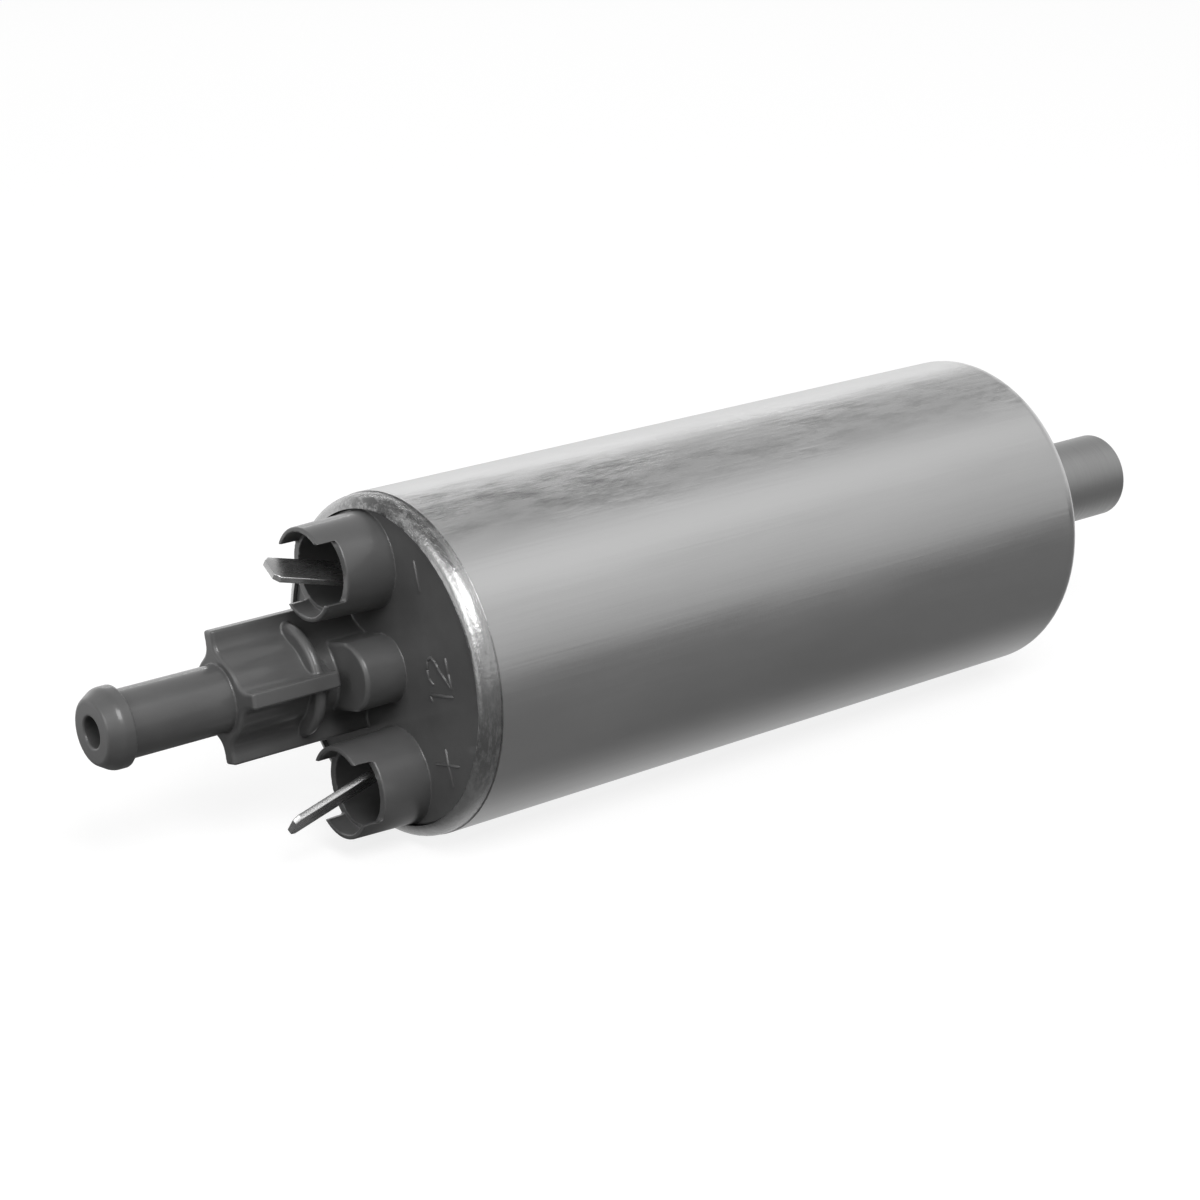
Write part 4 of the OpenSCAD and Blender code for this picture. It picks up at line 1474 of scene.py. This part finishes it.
@dataclass
class Studio:
    """Camera, lamps, floor and surroundings."""

    camera_at: Triple = (-231.462, -269.126, 124.948)
    camera_turn: Triple = (70.234, 0.0, -38.606)
    lens: float = 85.694
    sensor: float = 36.0
    clip: Pair = (0.01, 20.0)
    floor_z: float = -21.5
    floor_reach: float = 4000.0
    floor_sides: int = 96
    floor_tone: float = 0.24
    floor_glow: float = 0.8
    unlit_tone: float = 0.08
    mirrored_unlit: float = 0.25
    sweep_y: Pair = (-25.0, 0.0)
    sweep_glow: float = 0.75
    shade_x: Pair = (-56.0, -46.0)
    shade_at: Pair = (-64.0, 2.0)
    shade_reach: Pair = (45.0, 100.0)
    behind: Pair = (0.62, 0.785)
    behind_span: Pair = (0.1, 0.7)
    room_gain: float = 2.0
    low_span: Pair = (0.15, 0.55)
    low_fill: float = 0.25
    back_light: tuple[Pair, ...] = (
        (0.0, 0.62),
        (0.2, 0.56),
        (0.42, 0.41),
        (0.7, 0.3),
        (0.85, 0.28),
        (1.0, 0.12),
    )
    front_light: tuple[Pair, ...] = (
        (0.0, 0.27),
        (0.2, 0.34),
        (0.5, 0.4),
        (0.78, 0.38),
        (1.0, 0.1),
    )
    lamps: list[Lamp] = field(
        default_factory=lambda: [
            Lamp("back_strip", azimuth=60, elevation=21, size=(0.5, 0.012), power=0.2),
            Lamp("front_softbox", azimuth=-28, elevation=50, size=(0.45, 0.3), power=0.17),
            Lamp("left_panel", azimuth=-168, elevation=24, size=(0.4, 0.42), power=1.45),
            Lamp("key", azimuth=-110, elevation=50, size=(0.36, 0.36), power=3.6),
        ]
    )

    def build(self) -> None:
        """Makes everything that isn't part of the pump."""
        self.camera()
        for lamp in self.lamps:
            LOG.info("lamp %s", lamp.build().name)
        self.floor()
        self.world()
        bpy.context.scene.view_settings.view_transform = "Standard"

    def camera(self) -> None:
        """Puts the camera in front of the outlet, to the left and a little above."""
        data = bpy.data.cameras.new("camera")
        data.sensor_fit = "HORIZONTAL"
        data.sensor_width, data.lens = self.sensor, self.lens
        data.clip_start, data.clip_end = self.clip
        camera = bpy.data.objects.new("camera", data)
        bpy.context.scene.collection.objects.link(camera)
        camera.location = Vector(self.camera_at) * MM
        camera.rotation_euler = [math.radians(angle) for angle in self.camera_turn]
        bpy.context.scene.camera = camera

    def floor(self) -> None:
        """Lays a white floor that shows the pump's shadow."""
        turns = [math.tau * k / self.floor_sides for k in range(self.floor_sides)]
        ring = [
            (self.floor_reach * math.cos(turn), self.floor_reach * math.sin(turn), self.floor_z)
            for turn in turns
        ]
        floor = piece_of("floor", ring, [range(self.floor_sides)], self.floor_material())

    def floor_material(self) -> bpy.types.Material:
        """Makes a white that takes the pump's shadow, but lights it little.

        Returns:
            The floor's material.
        """
        made = bpy.data.materials.new("floor_white")
        made.use_nodes = True
        sketch = NodeSketch(made.node_tree)
        path = sketch.add("ShaderNodeLightPath").outputs
        mirrored = sketch.number("ADD", path["Is Glossy Ray"], path["Is Transmission Ray"])
        seen = sketch.number("MULTIPLY", path["Is Camera Ray"], self.floor_glow)
        glow = sketch.number("MULTIPLY", mirrored, self.mirrored_glow(sketch))
        glow = sketch.number("ADD", seen, glow)
        glossy = sketch.number("MULTIPLY", mirrored, self.mirrored_unlit)
        unlit = sketch.number("MAXIMUM", path["Is Diffuse Ray"], glossy)
        matt, dark = (
            sketch.add("ShaderNodeBsdfDiffuse", {"Color": (*grey(tone), 1.0)}).outputs[0]
            for tone in (self.floor_tone, self.unlit_tone)
        )
        ground = sketch.add("ShaderNodeMixShader", {0: unlit, 1: matt, 2: dark})
        light = sketch.add("ShaderNodeEmission", {"Color": WHITE, "Strength": glow})
        both = sketch.add("ShaderNodeAddShader", {0: ground.outputs[0], 1: light.outputs[0]})
        sketch.add("ShaderNodeOutputMaterial", {"Surface": both.outputs[0]})
        return made

    def mirrored_glow(self, sketch: NodeSketch) -> bpy.types.NodeSocket:
        """Marks how bright the floor is where the pump mirrors it.

        Args:
            sketch: The floor's tree.

        Returns:
            A socket that is 0 in front of the pump and under its cover.
        """
        near, far, left, right, inner, outer = (
            place * MM for place in (*self.sweep_y, *self.shade_x, *self.shade_reach)
        )
        sweep = sketch.spread(sketch.along("Y"), (near, far), (0.0, self.sweep_glow), True)
        middle = [place * MM for place in (*self.shade_at, self.floor_z)]
        inputs = {0: sketch.place(), 1: middle}
        apart = sketch.add("ShaderNodeVectorMath", inputs, operation="DISTANCE").outputs["Value"]
        beside = sketch.spread(sketch.along("X"), (left, right), (0.0, 1.0), True)
        beyond = sketch.spread(apart, (inner, outer), (0.0, 1.0), True)
        return sketch.number("MULTIPLY", sweep, sketch.number("MAXIMUM", beside, beyond))

    def world(self) -> None:
        """Surrounds the pump with a room that is pale at the back and above, and
        darker low in front."""
        world = bpy.data.worlds.new("room")
        bpy.context.scene.world = world
        world.use_nodes = True
        sketch = NodeSketch(world.node_tree)
        across, deep, up = (sketch.along(axis, "Generated") for axis in "XYZ")
        towards = sketch.number("MULTIPLY", across, self.behind[0])
        towards = sketch.number("MULTIPLY_ADD", deep, self.behind[1], towards)
        back, front = (
            sketch.number("MULTIPLY", sketch.ramp(up, light), self.room_gain)
            for light in (self.back_light, self.front_light)
        )
        share = sketch.spread(towards, self.behind_span, (0.0, 1.0), True)
        gain = sketch.number("SUBTRACT", back, front)
        light = sketch.number("MULTIPLY_ADD", gain, share, front)
        low = sketch.spread(up, self.low_span, (1.0 - self.low_fill, 0.0), True)
        path = sketch.add("ShaderNodeLightPath").outputs
        dimmed = sketch.number("MULTIPLY", low, path["Is Diffuse Ray"])
        light = sketch.number("MULTIPLY", light, sketch.number("SUBTRACT", 1.0, dimmed))
        strength = sketch.number("MAXIMUM", light, path["Is Camera Ray"])
        room = sketch.add("ShaderNodeBackground", {"Color": WHITE, "Strength": strength})
        sketch.add("ShaderNodeOutputWorld", {"Surface": room.outputs[0]})


def clear_start_up() -> None:
    """Takes away the cube, lamp and camera that Blender starts with."""
    for name in ("Cube", "Light", "Camera"):
        thing = bpy.data.objects.get(name)
        if thing is not None:
            bpy.data.objects.remove(thing)


def keep_sizes() -> None:
    """Brings the scene's matrices up to date.
    """
    bpy.context.view_layer.update()


def main() -> None:
    """Builds the pump's pieces in order and reports each one."""
    logging.basicConfig(level=logging.INFO, format="%(name)s: %(message)s")
    clear_start_up()
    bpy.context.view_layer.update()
    groups: list[SubAssembly] = [
        CarriedNodes(),
        OutletCover(),
        BladeTerminal(side=Side.UPPER, node="terminal_negative", length=14.3),
        BladeTerminal(side=Side.LOWER, node="terminal_positive", length=17.2),
        CoilSpring(node="check_valve_spring", joint="check_valve_lift", turns=5),
        CoilSpring(node="relief_spring", joint="relief_valve_lift", wire_r=0.15, turns=3),
        CoilSpring(node="brush_spring_upper", joint="brush_upper_slide", turns=3),
        CoilSpring(node="brush_spring_lower", joint="brush_lower_slide", turns=3),
    ]
    for group in groups:
        for piece in group.build():
            LOG.info("%s: %s", type(group).__name__, piece.name)
    Studio().build()
    keep_sizes()


if __name__ == "__main__":
    main()
